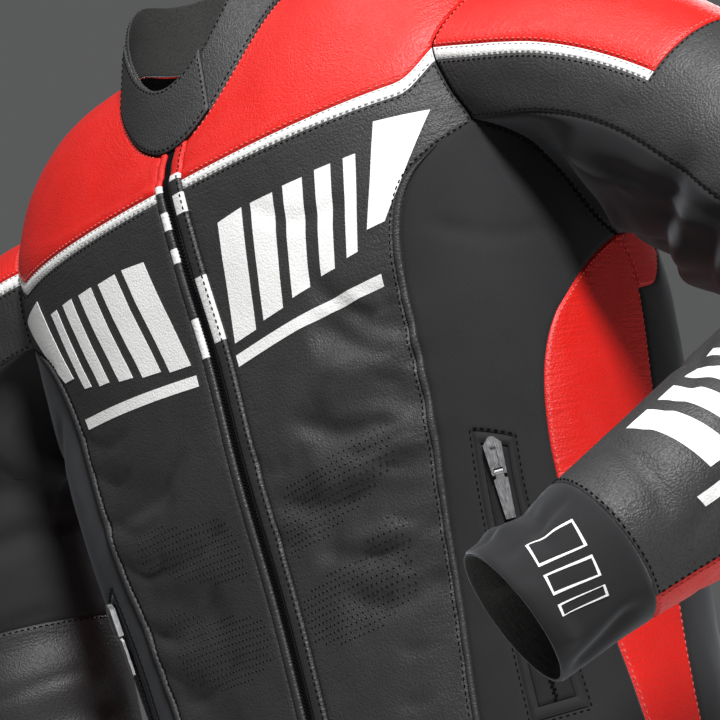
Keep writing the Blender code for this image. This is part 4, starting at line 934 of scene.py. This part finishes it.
class Paint:
    """A material and short ways to add nodes to it."""

    def __init__(self, name, color, roughness, metallic=0.0, sheen=0.0, specular=0.5):
        self.material = bpy.data.materials.new(name)
        self.material.use_nodes = True
        self.material.diffuse_color = (*color, 1.0)
        self.tree = self.material.node_tree
        self.shader = self.tree.nodes["Principled BSDF"]
        for key, value in (("Base Color", (*color, 1.0)), ("Roughness", roughness), ("Metallic", metallic),
                           ("Sheen Weight", sheen), ("Specular IOR Level", specular)):
            self.shader.inputs[key].default_value = value
        self.place = self.add("ShaderNodeTexCoord").outputs["Object"]

    def add(self, kind, *values, **settings):
        """A node with its settings, then its inputs in order. None leaves an input alone."""
        node = self.tree.nodes.new(kind)
        for key, value in settings.items():
            setattr(node, key, value)
        for socket, value in zip(node.inputs, values):
            if value is None:
                continue
            if isinstance(value, bpy.types.NodeSocket):
                self.tree.links.new(value, socket)
            else:
                socket.default_value = value
        return node

    def texture(self, kind, place, output="Fac", settings=None, **sizes):
        """A texture node at a place, with its inputs by name."""
        node = self.add(f"ShaderNodeTex{kind}", place, **(settings or {}))
        for name, size in sizes.items():
            node.inputs[name].default_value = size
        return node.outputs[output]

    def stretched(self, place, scale):
        node = self.add("ShaderNodeMapping", place)
        node.inputs["Scale"].default_value = scale
        return node.outputs[0]

    def flat(self):
        """The cloth's own flat coordinates."""
        return self.add("ShaderNodeUVMap", uv_map="cloth").outputs[0]

    def math(self, operation, a, b=0.0):
        return self.add("ShaderNodeMath", a, b, operation=operation).outputs[0]

    def noise(self, scale, detail=2.0, roughness=0.5):
        return self.texture("Noise", self.place, Scale=scale, Detail=detail, Roughness=roughness)

    def cells(self, scale, feature):
        return self.texture("Voronoi", self.place, "Distance", {"feature": feature}, Scale=scale)

    def spread(self, value, low, high, to_low=0.0, to_high=1.0):
        return self.add("ShaderNodeMapRange", value, low, high, to_low, to_high).outputs[0]

    def mix(self, share, first, second):
        node = self.add("ShaderNodeMix", data_type="RGBA")
        for name, value in (("Factor_Float", share), ("A_Color", first), ("B_Color", second)):
            socket = next(s for s in node.inputs if s.identifier == name)
            if isinstance(value, bpy.types.NodeSocket):
                self.tree.links.new(value, socket)
            else:
                socket.default_value = value
        return next(s for s in node.outputs if s.identifier == "Result_Color")

    def to(self, value, name):
        self.tree.links.new(value, self.shader.inputs[name])

    def bump(self, height, strength, distance, below=None):
        node = self.add("ShaderNodeBump")
        node.inputs["Strength"].default_value = strength
        node.inputs["Distance"].default_value = distance
        self.tree.links.new(height, node.inputs["Height"])
        if below is not None:
            self.tree.links.new(below, node.inputs["Normal"])
        return node.outputs["Normal"]


def shade(color, factor):
    """The same colour, lighter or darker."""
    return tuple(min(1.0, channel * factor) for channel in color) + (1.0,)


def leather(name, color, roughness, grain=0.80, dark=0.72, light=1.28, crease_shade=0.35, bands=None):
    """Grained leather: soft pebbles parted by fine creases with painted shade in them, wrinkled beside the
    seams.
    """
    paint = Paint(name, color, roughness, specular=0.42)
    lengthwise = paint.stretched(paint.flat(), WRINKLES)
    wrinkle = paint.texture("Noise", lengthwise, Scale=1.0, Detail=3.0)
    seam = paint.add("ShaderNodeAttribute", attribute_name="seam").outputs["Fac"]
    drawn = paint.math("MULTIPLY", wrinkle, paint.spread(seam, 0.0, 1.0, 0.12, 1.0))
    pebbles = paint.cells(GRAIN_SCALE, "SMOOTH_F1")
    shaded_valleys = paint.spread(pebbles, 0.35, 0.75)
    broad = paint.noise(16.0, 3.0, 0.6)
    base = (*color, 1.0)
    if bands is not None:
        base = banded(paint, bands)
        mottled = paint.mix(broad, paint.mix(0.28, base, (0.0, 0.0, 0.0, 1.0)), base)
    else:
        mottled = paint.mix(broad, shade(color, dark), shade(color, light))
    # Painted shade: the creases between the pebbles are darkened towards black by the share crease_shade
    crease_shade_color = paint.mix(crease_shade, mottled, (0.004, 0.004, 0.004, 1.0))
    paint.to(paint.mix(shaded_valleys, mottled, crease_shade_color), "Base Color")
    uneven = paint.spread(paint.noise(70.0, 3.0), 0.3, 0.7, roughness - 0.06, roughness + 0.06)
    paint.to(paint.math("ADD", uneven, paint.spread(shaded_valleys, 0.0, 1.0, 0.0, 0.14)), "Roughness")
    height = paint.math("SUBTRACT", paint.math("MULTIPLY", paint.noise(2100.0, 2.0), 0.30), pebbles)
    soft = paint.bump(paint.noise(150.0, 2.0), 0.10, 0.0012)
    drawn = paint.bump(drawn, 0.55, 0.0011, soft)
    paint.to(paint.bump(height, grain, GRAIN_DEPTH, drawn), "Normal")
    return paint.material


def banded(paint, bands):
    """Bands of colour across a facing, by distance up the cloth."""
    up = paint.add("ShaderNodeSeparateXYZ", paint.flat())
    ramp = paint.add("ShaderNodeValToRGB", paint.spread(up.outputs["Y"], 0.0, FACING_LENGTH))
    ramp.color_ramp.interpolation = "CONSTANT"
    elements = ramp.color_ramp.elements
    elements.remove(elements[1])
    elements[0].position, elements[0].color = 0.0, (*BLACK, 1.0)
    for along, color in bands:
        element = elements.new(along / FACING_LENGTH)
        element.color = (*color, 1.0)
    return ramp.outputs["Color"]


def knit(name, color, roughness, scale, sheen):
    """Stretch fabric: a fine ribbed weave with a soft sheen and faint wear."""
    paint = Paint(name, color, roughness, sheen=sheen, specular=0.25)
    paint.shader.inputs["Sheen Roughness"].default_value = 0.4
    paint.shader.inputs["Sheen Tint"].default_value = (0.75, 0.78, 0.85, 1.0)
    flat = paint.flat()
    waves = [paint.texture("Wave", flat, settings={"bands_direction": direction}, Scale=scale,
                           Distortion=0.6)
             for direction in ("DIAGONAL", "Y")]
    weave = paint.math("MULTIPLY", *waves)
    fuzz = paint.noise(900.0, 3.0)
    paint.to(paint.mix(paint.noise(24.0, 3.0), shade(color, 0.75), shade(color, 1.3)), "Base Color")
    height = paint.math("ADD", weave, paint.math("MULTIPLY", fuzz, 0.6))
    paint.to(paint.bump(height, 0.35, 0.0003), "Normal")
    return paint.material


def steel(name, color, roughness):
    """Dull plated zinc: brushed along, with darker rubbed patches."""
    paint = Paint(name, color, roughness, metallic=1.0)
    brushed = paint.texture("Noise", paint.stretched(paint.place, (1.0, 1.0, 0.08)), Scale=2600.0)
    paint.to(paint.mix(paint.noise(260.0, 3.0), shade(color, 0.7), shade(color, 1.25)), "Base Color")
    paint.to(paint.spread(brushed, 0.3, 0.7, roughness - 0.08, roughness + 0.14), "Roughness")
    paint.to(paint.bump(brushed, 0.15, 0.0002), "Normal")
    return paint.material


def thread(name, color):
    """Matt twisted thread, and other small matt things."""
    paint = Paint(name, color, 0.95, specular=0.02)
    twist = paint.texture("Wave", paint.place, settings={"bands_direction": "DIAGONAL"}, Scale=900.0)
    # Painted shade and highlight: the colour is darker in the twist's grooves and lighter on its ridges,
    # following the waves of the bump
    paint.to(paint.mix(twist, shade(color, 0.7), shade(color, 1.2)), "Base Color")
    paint.to(paint.bump(twist, 0.4, 0.0002), "Normal")
    return paint.material


def stitches(result, inset, where=None):
    """Centres, ways and directions out of the stitches beside a piece's border."""
    outer, out, border = result["outer"], result["out"], result["border"]
    after = {int(a): int(b) for a, b in border}
    tree = nearest_of(outer, after)
    left = set(after)
    spots = []
    while left:
        loop = [left.pop()]
        while after.get(loop[-1]) in left:
            loop.append(after[loop[-1]])
            left.discard(loop[-1])
        if len(loop) < 8:
            continue
        loop = np.array(loop + loop[:1])
        way = np.roll(outer[loop], -1, axis=0) - np.roll(outer[loop], 1, axis=0)
        inward = np.cross(out[loop], way)
        inward /= np.maximum(np.linalg.norm(inward, axis=1, keepdims=True), 1e-9)
        path = outer[loop] + inward * inset
        keep = np.array([tree.find(point)[2] > inset * CORNER_SHARE for point in path.tolist()])
        if where is not None:
            keep &= where(*result["flat"][loop].T)
        steps = np.linalg.norm(np.diff(path, axis=0), axis=1)
        lengths = np.concatenate(([0.0], np.cumsum(steps)))
        places = np.arange(STITCH_PITCH / 2, lengths[-1], STITCH_PITCH)
        index = np.clip(np.searchsorted(lengths, places) - 1, 0, len(steps) - 1)
        share = ((places - lengths[index]) / np.maximum(steps[index], 1e-9))[:, None]
        good = keep[index] & keep[index + 1] & (steps[index] < LONGEST_STEP)
        centres = path[index] * (1 - share) + path[index + 1] * share
        spots.append(np.stack((centres, path[index + 1] - path[index], out[loop][index]))[:, good])
    return np.concatenate(spots, axis=1)


def surface_of(result):
    """The outer face of a piece, ready to drop things onto."""
    return BVHTree.FromPolygons(result["outer"].tolist(), result["faces"])


def dropped(surface, points, ups):
    """Points moved onto a surface along their direction out."""
    moved = []
    for point, up in zip(points.reshape(-1, 3).tolist(), ups.reshape(-1, 3).tolist()):
        place = surface.ray_cast(Vector(point) + Vector(up) * DROP_HEIGHT, -Vector(up), DROP_REACH)[0]
        moved.append(point if place is None else tuple(place))
    return np.array(moved).reshape(points.shape)


def scattered(name, spots, shape, pattern, picks, materials):
    """Copies of one small closed shape, at each spot: a centre, a way along and a direction out."""
    centres, ways, ups = spots
    ways = unit(ways)
    ups = unit(ups - ways * np.sum(ups * ways, axis=1, keepdims=True))
    across = np.cross(ways, ups)
    points = np.concatenate([centres + ways * a + across * b + ups * c for a, b, c in shape])
    count = len(centres)
    faces = [tuple(k * count + n for k in reversed(face)) for face in pattern for n in range(count)]
    piece = finish_mesh(name, points, faces, materials, [pick for pick in picks for _ in range(count)])
    return piece


def bead(length, radius):
    """A stitch: a rounded bead that dips into the leather at its ends."""
    half = length / 2
    shape = [(-half, 0.0, -radius * 0.7)]
    for end in (-0.55, 0.55):
        for side, high in ((-1, -0.05), (-0.7, 0.95), (0.7, 0.95), (1, -0.05)):
            shape.append((half * end, side * radius, high * radius))
    shape.append((half, 0.0, -radius * 0.7))
    pattern = [(0, 2, 1), (0, 3, 2), (0, 4, 3), (0, 1, 4), (1, 2, 6, 5), (2, 3, 7, 6), (3, 4, 8, 7),
               (4, 1, 5, 8), (9, 5, 6), (9, 6, 7), (9, 7, 8), (9, 8, 5)]
    return shape, pattern


def tooth(sizes):
    """A zip's tooth, narrower at its top."""
    a, b, c = (size / 2 for size in sizes)
    shape = [(x * a * (0.7 if z > 0 else 1), y * b, z * c) for z in (-1, 1) for y in (-1, 1) for x in (-1, 1)]
    return shape, [(0, 2, 3, 1), (4, 5, 7, 6), (0, 1, 5, 4), (2, 6, 7, 3), (0, 4, 6, 2), (1, 3, 7, 5)]


def punched(radius):
    """A small hole: a low rim of leather round a dark disc of painted shade, where the hole's inside lies in
    shadow.
    """
    n = HOLE_SIDES
    turns = [math.tau * k / n for k in range(n)]
    shape = [(size * radius * math.cos(turn), size * radius * math.sin(turn), high)
             for size, high in HOLE_RINGS for turn in turns]
    shape += [(0.0, 0.0, HOLE_SHADE_HEIGHT), (0.0, 0.0, HOLE_FOOT)]
    pattern = []
    for k in range(n):
        j = (k + 1) % n
        pattern += [(k, n + k, n + j, j), (n + k, 2 * n + k, 2 * n + j, n + j),
                    (2 * n + k, 3 * n, 2 * n + j), (j, 3 * n + 1, k)]
    return shape, pattern, [0, 0, 1, 0] * n


def bars(name, surface, place, quads, cell, material):
    """Flat patches of leather that lie on a surface. The corners are places on the cloth."""
    points, faces = [], []
    for corners in quads:
        a, b, c, d = (np.array(corner) for corner in corners)
        edges = [place(*np.array(pair).T)[0] for pair in ((a, b), (a, d))]
        columns, rows = (max(2, round(float(np.linalg.norm(edge[1] - edge[0])) / cell)) + 1 for edge in edges)
        s, t = np.meshgrid(np.linspace(0, 1, columns), np.linspace(0, 1, rows))
        s, t = s[..., None], t[..., None]
        own = (a * (1 - s) + b * s) * (1 - t) + (d * (1 - s) + c * s) * t
        base, out = place(own[..., 0], own[..., 1])
        base = dropped(surface, base, out)
        numbers = np.arange(rows * columns).reshape(rows, columns) + len(points)
        count = rows * columns
        for rise in (BAR_RISE, -BAR_RISE):
            points += (base + out * rise).reshape(-1, 3).tolist()
        top = grid_faces(numbers)
        ring = np.concatenate((numbers[0, :-1], numbers[:-1, -1], numbers[-1, :0:-1], numbers[:0:-1, 0]))
        rim = np.stack((np.roll(ring, -1), ring, ring + count, np.roll(ring, -1) + count), -1)
        own_faces = np.concatenate((top, top[:, ::-1] + count, rim))
        facing = np.cross(base[0, 1] - base[0, 0], base[1, 0] - base[0, 0]) @ out[0, 0]
        faces += (own_faces if facing > 0 else own_faces[:, ::-1]).tolist()
    piece = finish_mesh(name, np.array(points), faces, [material])
    piece.data.set_sharp_from_angle(angle=math.radians(BAR_SHARP))
    return piece


def outlined(corners, across):
    """The four thin sides of an outlined bar. Across is the outline's width in each coordinate."""
    middle = np.mean(corners, axis=0)
    inner = [np.array(corner) - np.sign(np.array(corner) - middle) * across for corner in corners]
    sides = []
    for k in range(4):
        j = (k + 1) % 4
        sides.append((corners[k], corners[j], tuple(inner[j]), tuple(inner[k])))
    return sides


def inside(corners, x, y):
    """Whether points lie within a closed outline."""
    within = np.zeros(x.shape, dtype=bool)
    for (xa, ya), (xb, yb) in zip(corners, corners[1:] + corners[:1]):
        crosses = (ya > y) != (yb > y)
        within ^= crosses & (x < (xb - xa) * (y - ya) / (yb - ya if yb != ya else 1.0) + xa)
    return within


def build_grids():
    """All grids of the garment for both hands."""
    high_levels = tuple(LOW_ROWS[-1] + k * BACK_STEP for k in range(1, len(HIGH_ROWS_BACK)))
    back_levels = LOW_ROWS + high_levels + NECK_ROWS[1:]
    front_levels = LOW_ROWS + HIGH_ROWS_FRONT[1:] + NECK_ROWS[1:]
    side, leaf, behind = side_places()
    back = back_places()
    grids = {}
    for hand in ("left", "right"):
        front = front_places(FACING_RIGHT if hand == "right" else FACING_LEFT)
        piping = np.stack((front[:ARM_ROW + 1, FRONT_EDGE], side[:, 0]), axis=1)
        cell = CELL_FRONT if hand == "left" else CELL_FRONT * RIGHT_CELLS
        parts = {
            "front": (front, front_levels, (0, WAIST_ROW, STRIP_ROW, YOKE_ROW, NECK_ROW),
                      (1, 2, FRONT_EDGE), cell),
            "piping": (piping, LOW_ROWS, (0, WAIST_ROW), (), cell),
            "side": (side, LOW_ROWS, (0, WAIST_ROW, ARM_ROW) + POCKET_ROWS, (0, 2, 5, 7),
                     cell * SIDE_CELLS),
            "leaf": (leaf, LOW_ROWS, (0, WAIST_ROW), (0, 3), cell * LEAF_CELLS),
            "behind": (behind, LOW_ROWS, (0, WAIST_ROW, STRAP_ROW, ARM_ROW), (0, 2, 3), CELL_BACK),
            "back": (back, back_levels, (0, WAIST_ROW, YOKE_ROW, NECK_ROW), (0,), CELL_BACK),
        }
        own = {name: BodyGrid(*values, hand) for name, values in parts.items()}

        def loop(columns, own=own):
            return armhole_place(own["front"], own["back"], own["side"], own["behind"], columns)

        corners = BENT_ARM if hand == "left" else HANGING_ARM
        rings = sleeve_rings(loop(np.arange(float(ROUND))), corners)
        rings = np.concatenate((rings, rings[:, :1]), axis=1)
        knots = np.concatenate(([0.0], np.cumsum(COLUMN_SHARES)))

        def first(places, loop=loop, knots=knots):
            return loop(np.interp(places, knots, np.arange(len(knots))))

        seams = SLEEVE_SEAMS[:-1] + (FOREARM_SEAMS[1],)
        own["sleeve"] = RingGrid(rings, SLEEVE_ROWS, knots, (0, CAP_ROW, ELBOW_ROW, WRIST_ROW, CUFF_ROW),
                                 seams, CELL_SLEEVE * (BENT_CELLS if hand == "left" else 1.0), hand, first)
        base = np.concatenate((front[NECK_ROW], back[NECK_ROW][1:]))
        ring = torso(base[:, 0], base[:, 1])
        outward = unit(ring * np.array((1.0, 1.0, 0.0)))
        rise = COLLAR_UP * np.array((0.0, 0.0, 1.0)) - COLLAR_IN * outward
        points = np.array([ring + height * rise for height in COLLAR_ROWS])
        own["collar"] = RingGrid(points, COLLAR_ROWS, base[:, 0], (0, COLLAR_TOP), (1, 2),
                                 CELL_BACK * COLLAR_CELLS, hand)
        grids[hand] = own
    return grids


def cuts(hand, collar_end):
    """Piece, grid, rows and columns of every block. The star stands for the hand."""
    first, low, high, last = POCKET_ROWS
    seam, strip, cap, cap_back, rear, round_ = SLEEVE_SEAMS
    under, beyond = FOREARM_SEAMS
    tab = TAB_COLUMNS[0 if hand == "left" else 1]
    panel, whole, third = (2, FRONT_EDGE), (0, 7), (0, 3)
    shoulder, upper, forearm = (0, CAP_ROW), (0, ELBOW_ROW), (ELBOW_ROW, WRIST_ROW)
    band = (("front", panel), ("piping", (0, 1)), ("side", whole), ("leaf", third),
            ("behind", third), ("back", whole))
    return [("waistband", part, (0, WAIST_ROW), columns) for part, columns in band] + [
        ("zip_tape", "front", (0, NECK_ROW), (0, 1)),
        ("zip_facing_*", "front", (0, NECK_ROW), (1, 2)),
        ("front_panel_*", "front", (WAIST_ROW, STRIP_ROW), panel),
        ("yoke_strip_*", "front", (STRIP_ROW, YOKE_ROW), panel),
        ("front_yoke_*", "front", (YOKE_ROW, NECK_ROW), panel),
        ("front_piping_*", "piping", (WAIST_ROW, PIPING_END), (0, 1)),
        ("side_stretch_*", "side", (WAIST_ROW, first), whole),
        ("side_stretch_*", "side", (last, ARM_ROW), whole),
        ("side_stretch_*", "side", (first, last), (0, 2)),
        ("side_stretch_*", "side", (first, last), (5, 7)),
        ("pocket_welt_*", "side", (first, last), (2, 3)),
        ("pocket_welt_*", "side", (first, last), (4, 5)),
        ("pocket_welt_*", "side", (first, low), (3, 4)),
        ("pocket_welt_*", "side", (high, last), (3, 4)),
        ("pocket_zip_*", "side", (low, high), (3, 4)),
        ("side_leaf_*", "leaf", (WAIST_ROW, ARM_ROW), third),
        ("back_side_*", "behind", (WAIST_ROW, STRAP_ROW), third),
        ("back_side_*", "behind", (STRAP_ROW, ARM_ROW), (2, 3)),
        ("underarm_strap_*", "behind", (STRAP_ROW, ARM_ROW), (0, 2)),
        ("back_panel", "back", (WAIST_ROW, YOKE_ROW), whole),
        ("back_yoke", "back", (YOKE_ROW, NECK_ROW), whole),
        ("zip_tape", "collar", (0, COLLAR_TOP), (0, 1)),
        ("collar", "collar", (0, COLLAR_TOP), (1, collar_end)),
        ("collar_tab", "collar", (0, COLLAR_TOP), (0, tab)),
        ("sleeve_stretch_*", "sleeve", upper, (0, seam)),
        ("sleeve_stretch_*", "sleeve", upper, (rear, round_)),
        ("sleeve_cap_*", "sleeve", shoulder, (cap, cap_back)),
        ("sleeve_strip_*", "sleeve", shoulder, (strip, cap)),
        ("sleeve_outer_*", "sleeve", shoulder, (seam, strip)),
        ("sleeve_outer_*", "sleeve", shoulder, (cap_back, rear)),
        ("sleeve_outer_*", "sleeve", (CAP_ROW, ELBOW_ROW), (seam, rear)),
        ("forearm_under_*", "sleeve", forearm, (under, beyond)),
        ("forearm_upper_*", "sleeve", forearm, (0, under)),
        ("forearm_upper_*", "sleeve", forearm, (beyond, round_)),
        ("cuff_*", "sleeve", (WRIST_ROW, CUFF_ROW), (0, round_)),
    ]


def lay_out(grids):
    """The fine blocks of every sewn piece."""
    cloths = {}
    for hand, own in grids.items():
        for name, part, rows, columns in cuts(hand, len(own["collar"].columns) - 1):
            cloth = cloths.setdefault(name.replace("*", hand), Cloth())
            cloth.add(own[part].block(*rows, *columns))
    return cloths


def mix_paints():
    """The materials of the sewn pieces, by name."""
    return {
        "black_leather": leather("black_leather", BLACK, 0.52, grain=0.70),
        "red_leather": leather("red_leather", RED, 0.44, grain=0.55, dark=0.85, light=1.12, crease_shade=0.12),
        "white_leather": leather("white_leather", WHITE, 0.46, grain=0.5, dark=0.94, light=1.04, crease_shade=0.05),
        "facing_left": leather("facing_left", BLACK, 0.44, grain=0.5, crease_shade=0.05, bands=BANDS_LEFT),
        "facing_right": leather("facing_right", BLACK, 0.44, grain=0.5, crease_shade=0.05, bands=BANDS_RIGHT),
        "inside": leather("leather_inside", INSIDE, 0.85, grain=0.2),
        "stretch_fabric": knit("stretch_fabric", STRETCH_BLACK, 0.82, 420.0, 0.18),
        "soft_cuff": knit("soft_cuff", STRETCH_BLACK, 0.85, 620.0, 0.40),
        "zip_tape": knit("zip_tape", TAPE_BLACK, 0.80, 700.0, 0.10),
    }


def main():
    paints = mix_paints()
    grids = build_grids()
    sleeves = {hand: own["sleeve"] for hand, own in grids.items()}
    lines = crease_lines(sleeves, BODY_FOLDS + BODY_CREASES, SLEEVE_FOLDS + SLEEVE_CREASES)
    results = {}
    for name, cloth in lay_out(grids).items():
        head = name if name in KINDS else name.rsplit("_", 1)[0]
        paint, wall, rise, unevenness, flat_size, crown = KINDS[head]
        slot = "black_leather" if paint.startswith("facing") else paint
        lift = TAB_GAP + wall if name == "collar_tab" else 0.0
        results[name] = sewn(name + "_cloth", cloth, lines, wall, rise, unevenness,
                             (paints[paint], paints["inside"]), slot, flat_size, crown, lift)
        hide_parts(name)
    threads = {color: thread(f"{color}_thread", tone) for color, tone in THREADS.items()}
    sew(results, threads)
    close_zips(grids, thread("black_nylon", THREADS["black"]))
    # The small holes get a near-black disc of painted shade for their shadowed insides
    perforate(results, paints["black_leather"], thread("hole_shade", HOLE_SHADE))
    decorate(grids, results, paints["white_leather"])
    metal = steel("dull_steel", STEEL, 0.36)
    for hand in ("left", "right"):
        for part in ("slider", "pull"):
            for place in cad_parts[f"pocket_{part}_{hand}"].material_slots:
                place.material = metal


def seam_choice(name):
    """Which stitches of a piece show, by its flat coordinates. None stands for all of them."""
    if name.startswith("side_stretch"):
        def choice(across, along):
            bearing = abs(across) / FLAT_DEGREE
            (near, far), (low, high) = POCKET_STITCHES
            pocket = (along > low) & (along < high) & (bearing > near) & (bearing < far)
            top = np.interp(bearing, HOLE_FRONT_LOW[:, 0], HOLE_FRONT_LOW[:, 1])
            return pocket | ((bearing > HOLE_STITCHES[0]) & (along > top - HOLE_STITCHES[1]))
        return choice
    if name.startswith("sleeve_stretch"):
        return lambda across, along: along < SLEEVE_STITCHES
    if name.startswith("zip_facing"):
        return lambda across, along: abs(across) / FLAT_DEGREE > FACING_STITCHES
    if name.startswith("front_panel") or name.startswith("front_yoke"):
        return lambda across, along: abs(across) / FLAT_DEGREE > PANEL_STITCHES
    return None


def sew(results, threads):
    """Stitches beside the seams, one piece for each colour of thread."""
    gathered = {color: [] for color in threads}
    for name, result in results.items():
        color = "red" if name.startswith(RED_PIECES) else "white" if "strip" in name else "black"
        if name.startswith(UNSEWN_PIECES):
            continue
        inset = STRIP_INSET if "strip" in name else STITCH_INSET
        spots = stitches(result, inset, seam_choice(name))
        spots[0] = dropped(surface_of(result), spots[0], spots[2])
        gathered[color].append(spots)
    for color, spots in gathered.items():
        shape, pattern = bead(*STITCH)
        scattered(f"{color}_stitches", np.concatenate(spots, axis=1), shape, pattern, [0] * len(pattern),
                  [threads[color]])


def close_zips(grids, material):
    """Teeth of the front zip and of the pockets' zips."""
    shape, pattern = tooth(TOOTH)
    rows = np.arange(ZIP_START, ZIP_END, TOOTH_PITCH)
    spots = []
    for sign, shift in ((1.0, 0.0), (-1.0, TOOTH_PITCH / 2)):
        along = rows + shift
        depth = -torso(0.0, along)[:, 1]
        points, out, _ = body_face(sign, np.degrees(np.arctan2(TOOTH_OFFSET, depth)), along)
        spots.append(np.stack((points - out * TOOTH_DROP, np.gradient(points, axis=0), out)))
    scattered("zip_teeth", np.concatenate(spots, axis=1), shape, pattern, [0] * 6, [material])
    shape, pattern = tooth(POCKET_TOOTH)
    for hand, own in grids.items():
        side = own["side"]
        levels = np.arange(LOW_ROWS[POCKET_ROWS[1]] + POCKET_START, POCKET_TOP, POCKET_PITCH)
        places = glide(side.levels, side.places[:, 3:5].mean(axis=1), levels)
        points, out, _ = side.face(places[:, 0], places[:, 1])
        shift = np.where(np.arange(len(levels)) % 2, POCKET_OFFSET, -POCKET_OFFSET)[:, None]
        way = np.gradient(points, axis=0)
        spots = np.stack((points + unit(np.cross(way, out)) * shift, way, out))
        scattered(f"pocket_teeth_{hand}", spots, shape, pattern, [0] * 6, [material])


def perforate(results, leather_paint, dark):
    """The fields of small holes in both front panels."""
    # Each hole's middle disc takes the second material, dark: painted shade for the hole's shadowed inside
    shape, pattern, picks = punched(HOLE_RADIUS)
    for hand, sign in (("left", 1.0), ("right", -1.0)):
        surface = surface_of(results[f"front_panel_{hand}"])
        spots = []
        for corners in PERFORATED:
            bearings, levels = np.array(corners).T
            step = HOLE_PITCH / HOLE_DEGREE
            x, y = np.meshgrid(np.arange(bearings.min(), bearings.max(), step),
                               np.arange(levels.min(), levels.max(), HOLE_ROW))
            x = x + (np.arange(len(x)) % 2 * step / 2)[:, None]
            y = y + (x - x.min()) * HOLE_SLANT
            within = inside(corners, x, y)
            points, out, _ = body_face(sign, x[within], y[within])
            climb = body_face(sign, x[within], y[within] + 0.001)[0] - points
            spots.append(np.stack((dropped(surface, points, out), climb, out)))
        scattered(f"perforation_{hand}", np.concatenate(spots, axis=1), shape, pattern, picks,
                  [leather_paint, dark])


def decorate(grids, results, white):
    """Plain racing bars on the fronts, the forearms and, as outlines, the cuffs."""
    for hand, own in grids.items():
        sleeve = own["sleeve"]
        sign = own["front"].sign

        def on_body(bearing, along, sign=sign):
            return body_face(sign, bearing, along)[:2]

        def on_sleeve(distance, column, sleeve=sleeve):
            knots = np.interp(column, np.arange(len(sleeve.columns)), sleeve.columns)
            return sleeve.place(distance, knots)

        outlines = [side for corners in CUFF_BARS for side in outlined(corners, (OUTLINE, OUTLINE / 0.012))]
        for name, on, place, quads, cell in (
                ("front_bars", "front_panel", on_body, FRONT_BARS, BAR_CELL),
                ("forearm_bars", "forearm_upper", on_sleeve, FOREARM_BARS, BAR_CELL),
                ("cuff_bars", "cuff", on_sleeve, outlines, OUTLINE_CELL)):
            bars(f"{name}_{hand}", surface_of(results[f"{on}_{hand}"]), place, quads, cell, white)


def set_camera():
    """The photograph's own view of the chest, tilted as it is."""
    azimuth, elevation, roll = (math.radians(angle) for angle in CAMERA_TURN)
    back = Vector((math.sin(azimuth) * math.cos(elevation), -math.cos(azimuth) * math.cos(elevation),
                   math.sin(elevation)))
    level_right = Vector((math.cos(azimuth), math.sin(azimuth), 0.0))
    level_up = back.cross(level_right)
    right = level_right * math.cos(roll) - level_up * math.sin(roll)
    up = level_right * math.sin(roll) + level_up * math.cos(roll)
    camera = bpy.data.objects.new("camera", bpy.data.cameras.new("camera"))
    camera.data.lens = LENS
    camera.data.sensor_width = 36.0
    camera.data.clip_start = 0.05
    axes = Matrix((right, up, back)).transposed().to_4x4()
    camera.matrix_world = Matrix.Translation(Vector(CAMERA_TARGET) + back * CAMERA_DISTANCE) @ axes
    bpy.context.scene.collection.objects.link(camera)
    bpy.context.scene.camera = camera


def add_light(name, place, target, size, power):
    """A round lamp that faces its target."""
    light = bpy.data.objects.new(name, bpy.data.lights.new(name, "AREA"))
    light.data.shape = "DISK"
    light.data.size = size
    light.data.energy = power
    way = Vector(target) - Vector(place)
    turn = way.to_track_quat("-Z", "Y").to_matrix().to_4x4()
    light.matrix_world = Matrix.Translation(Vector(place)) @ turn
    bpy.context.scene.collection.objects.link(light)


def set_stage():
    """A pale floor below the jacket, and soft light."""
    scene = bpy.context.scene
    world = bpy.data.worlds.new("pale world")
    world.use_nodes = True
    background = world.node_tree.nodes["Background"]
    background.inputs["Color"].default_value = WORLD_COLOR
    background.inputs["Strength"].default_value = WORLD_LIGHT
    scene.world = world
    scene.view_settings.view_transform = "Standard"
    mesh = bpy.data.meshes.new("floor")
    corners = ((-1, -1), (1, -1), (1, 1), (-1, 1))
    mesh.from_pydata([(x * FLOOR_HALF, y * FLOOR_HALF, FLOOR_HEIGHT) for x, y in corners],
                     [], [(0, 1, 2, 3)])
    mesh.materials.append(Paint("pale_floor", FLOOR_COLOR, 0.7).material)
    floor = bpy.data.objects.new("floor", mesh)
    scene.collection.objects.link(floor)
    for light in LIGHTS:
        add_light(*light)


main()
set_camera()
set_stage()
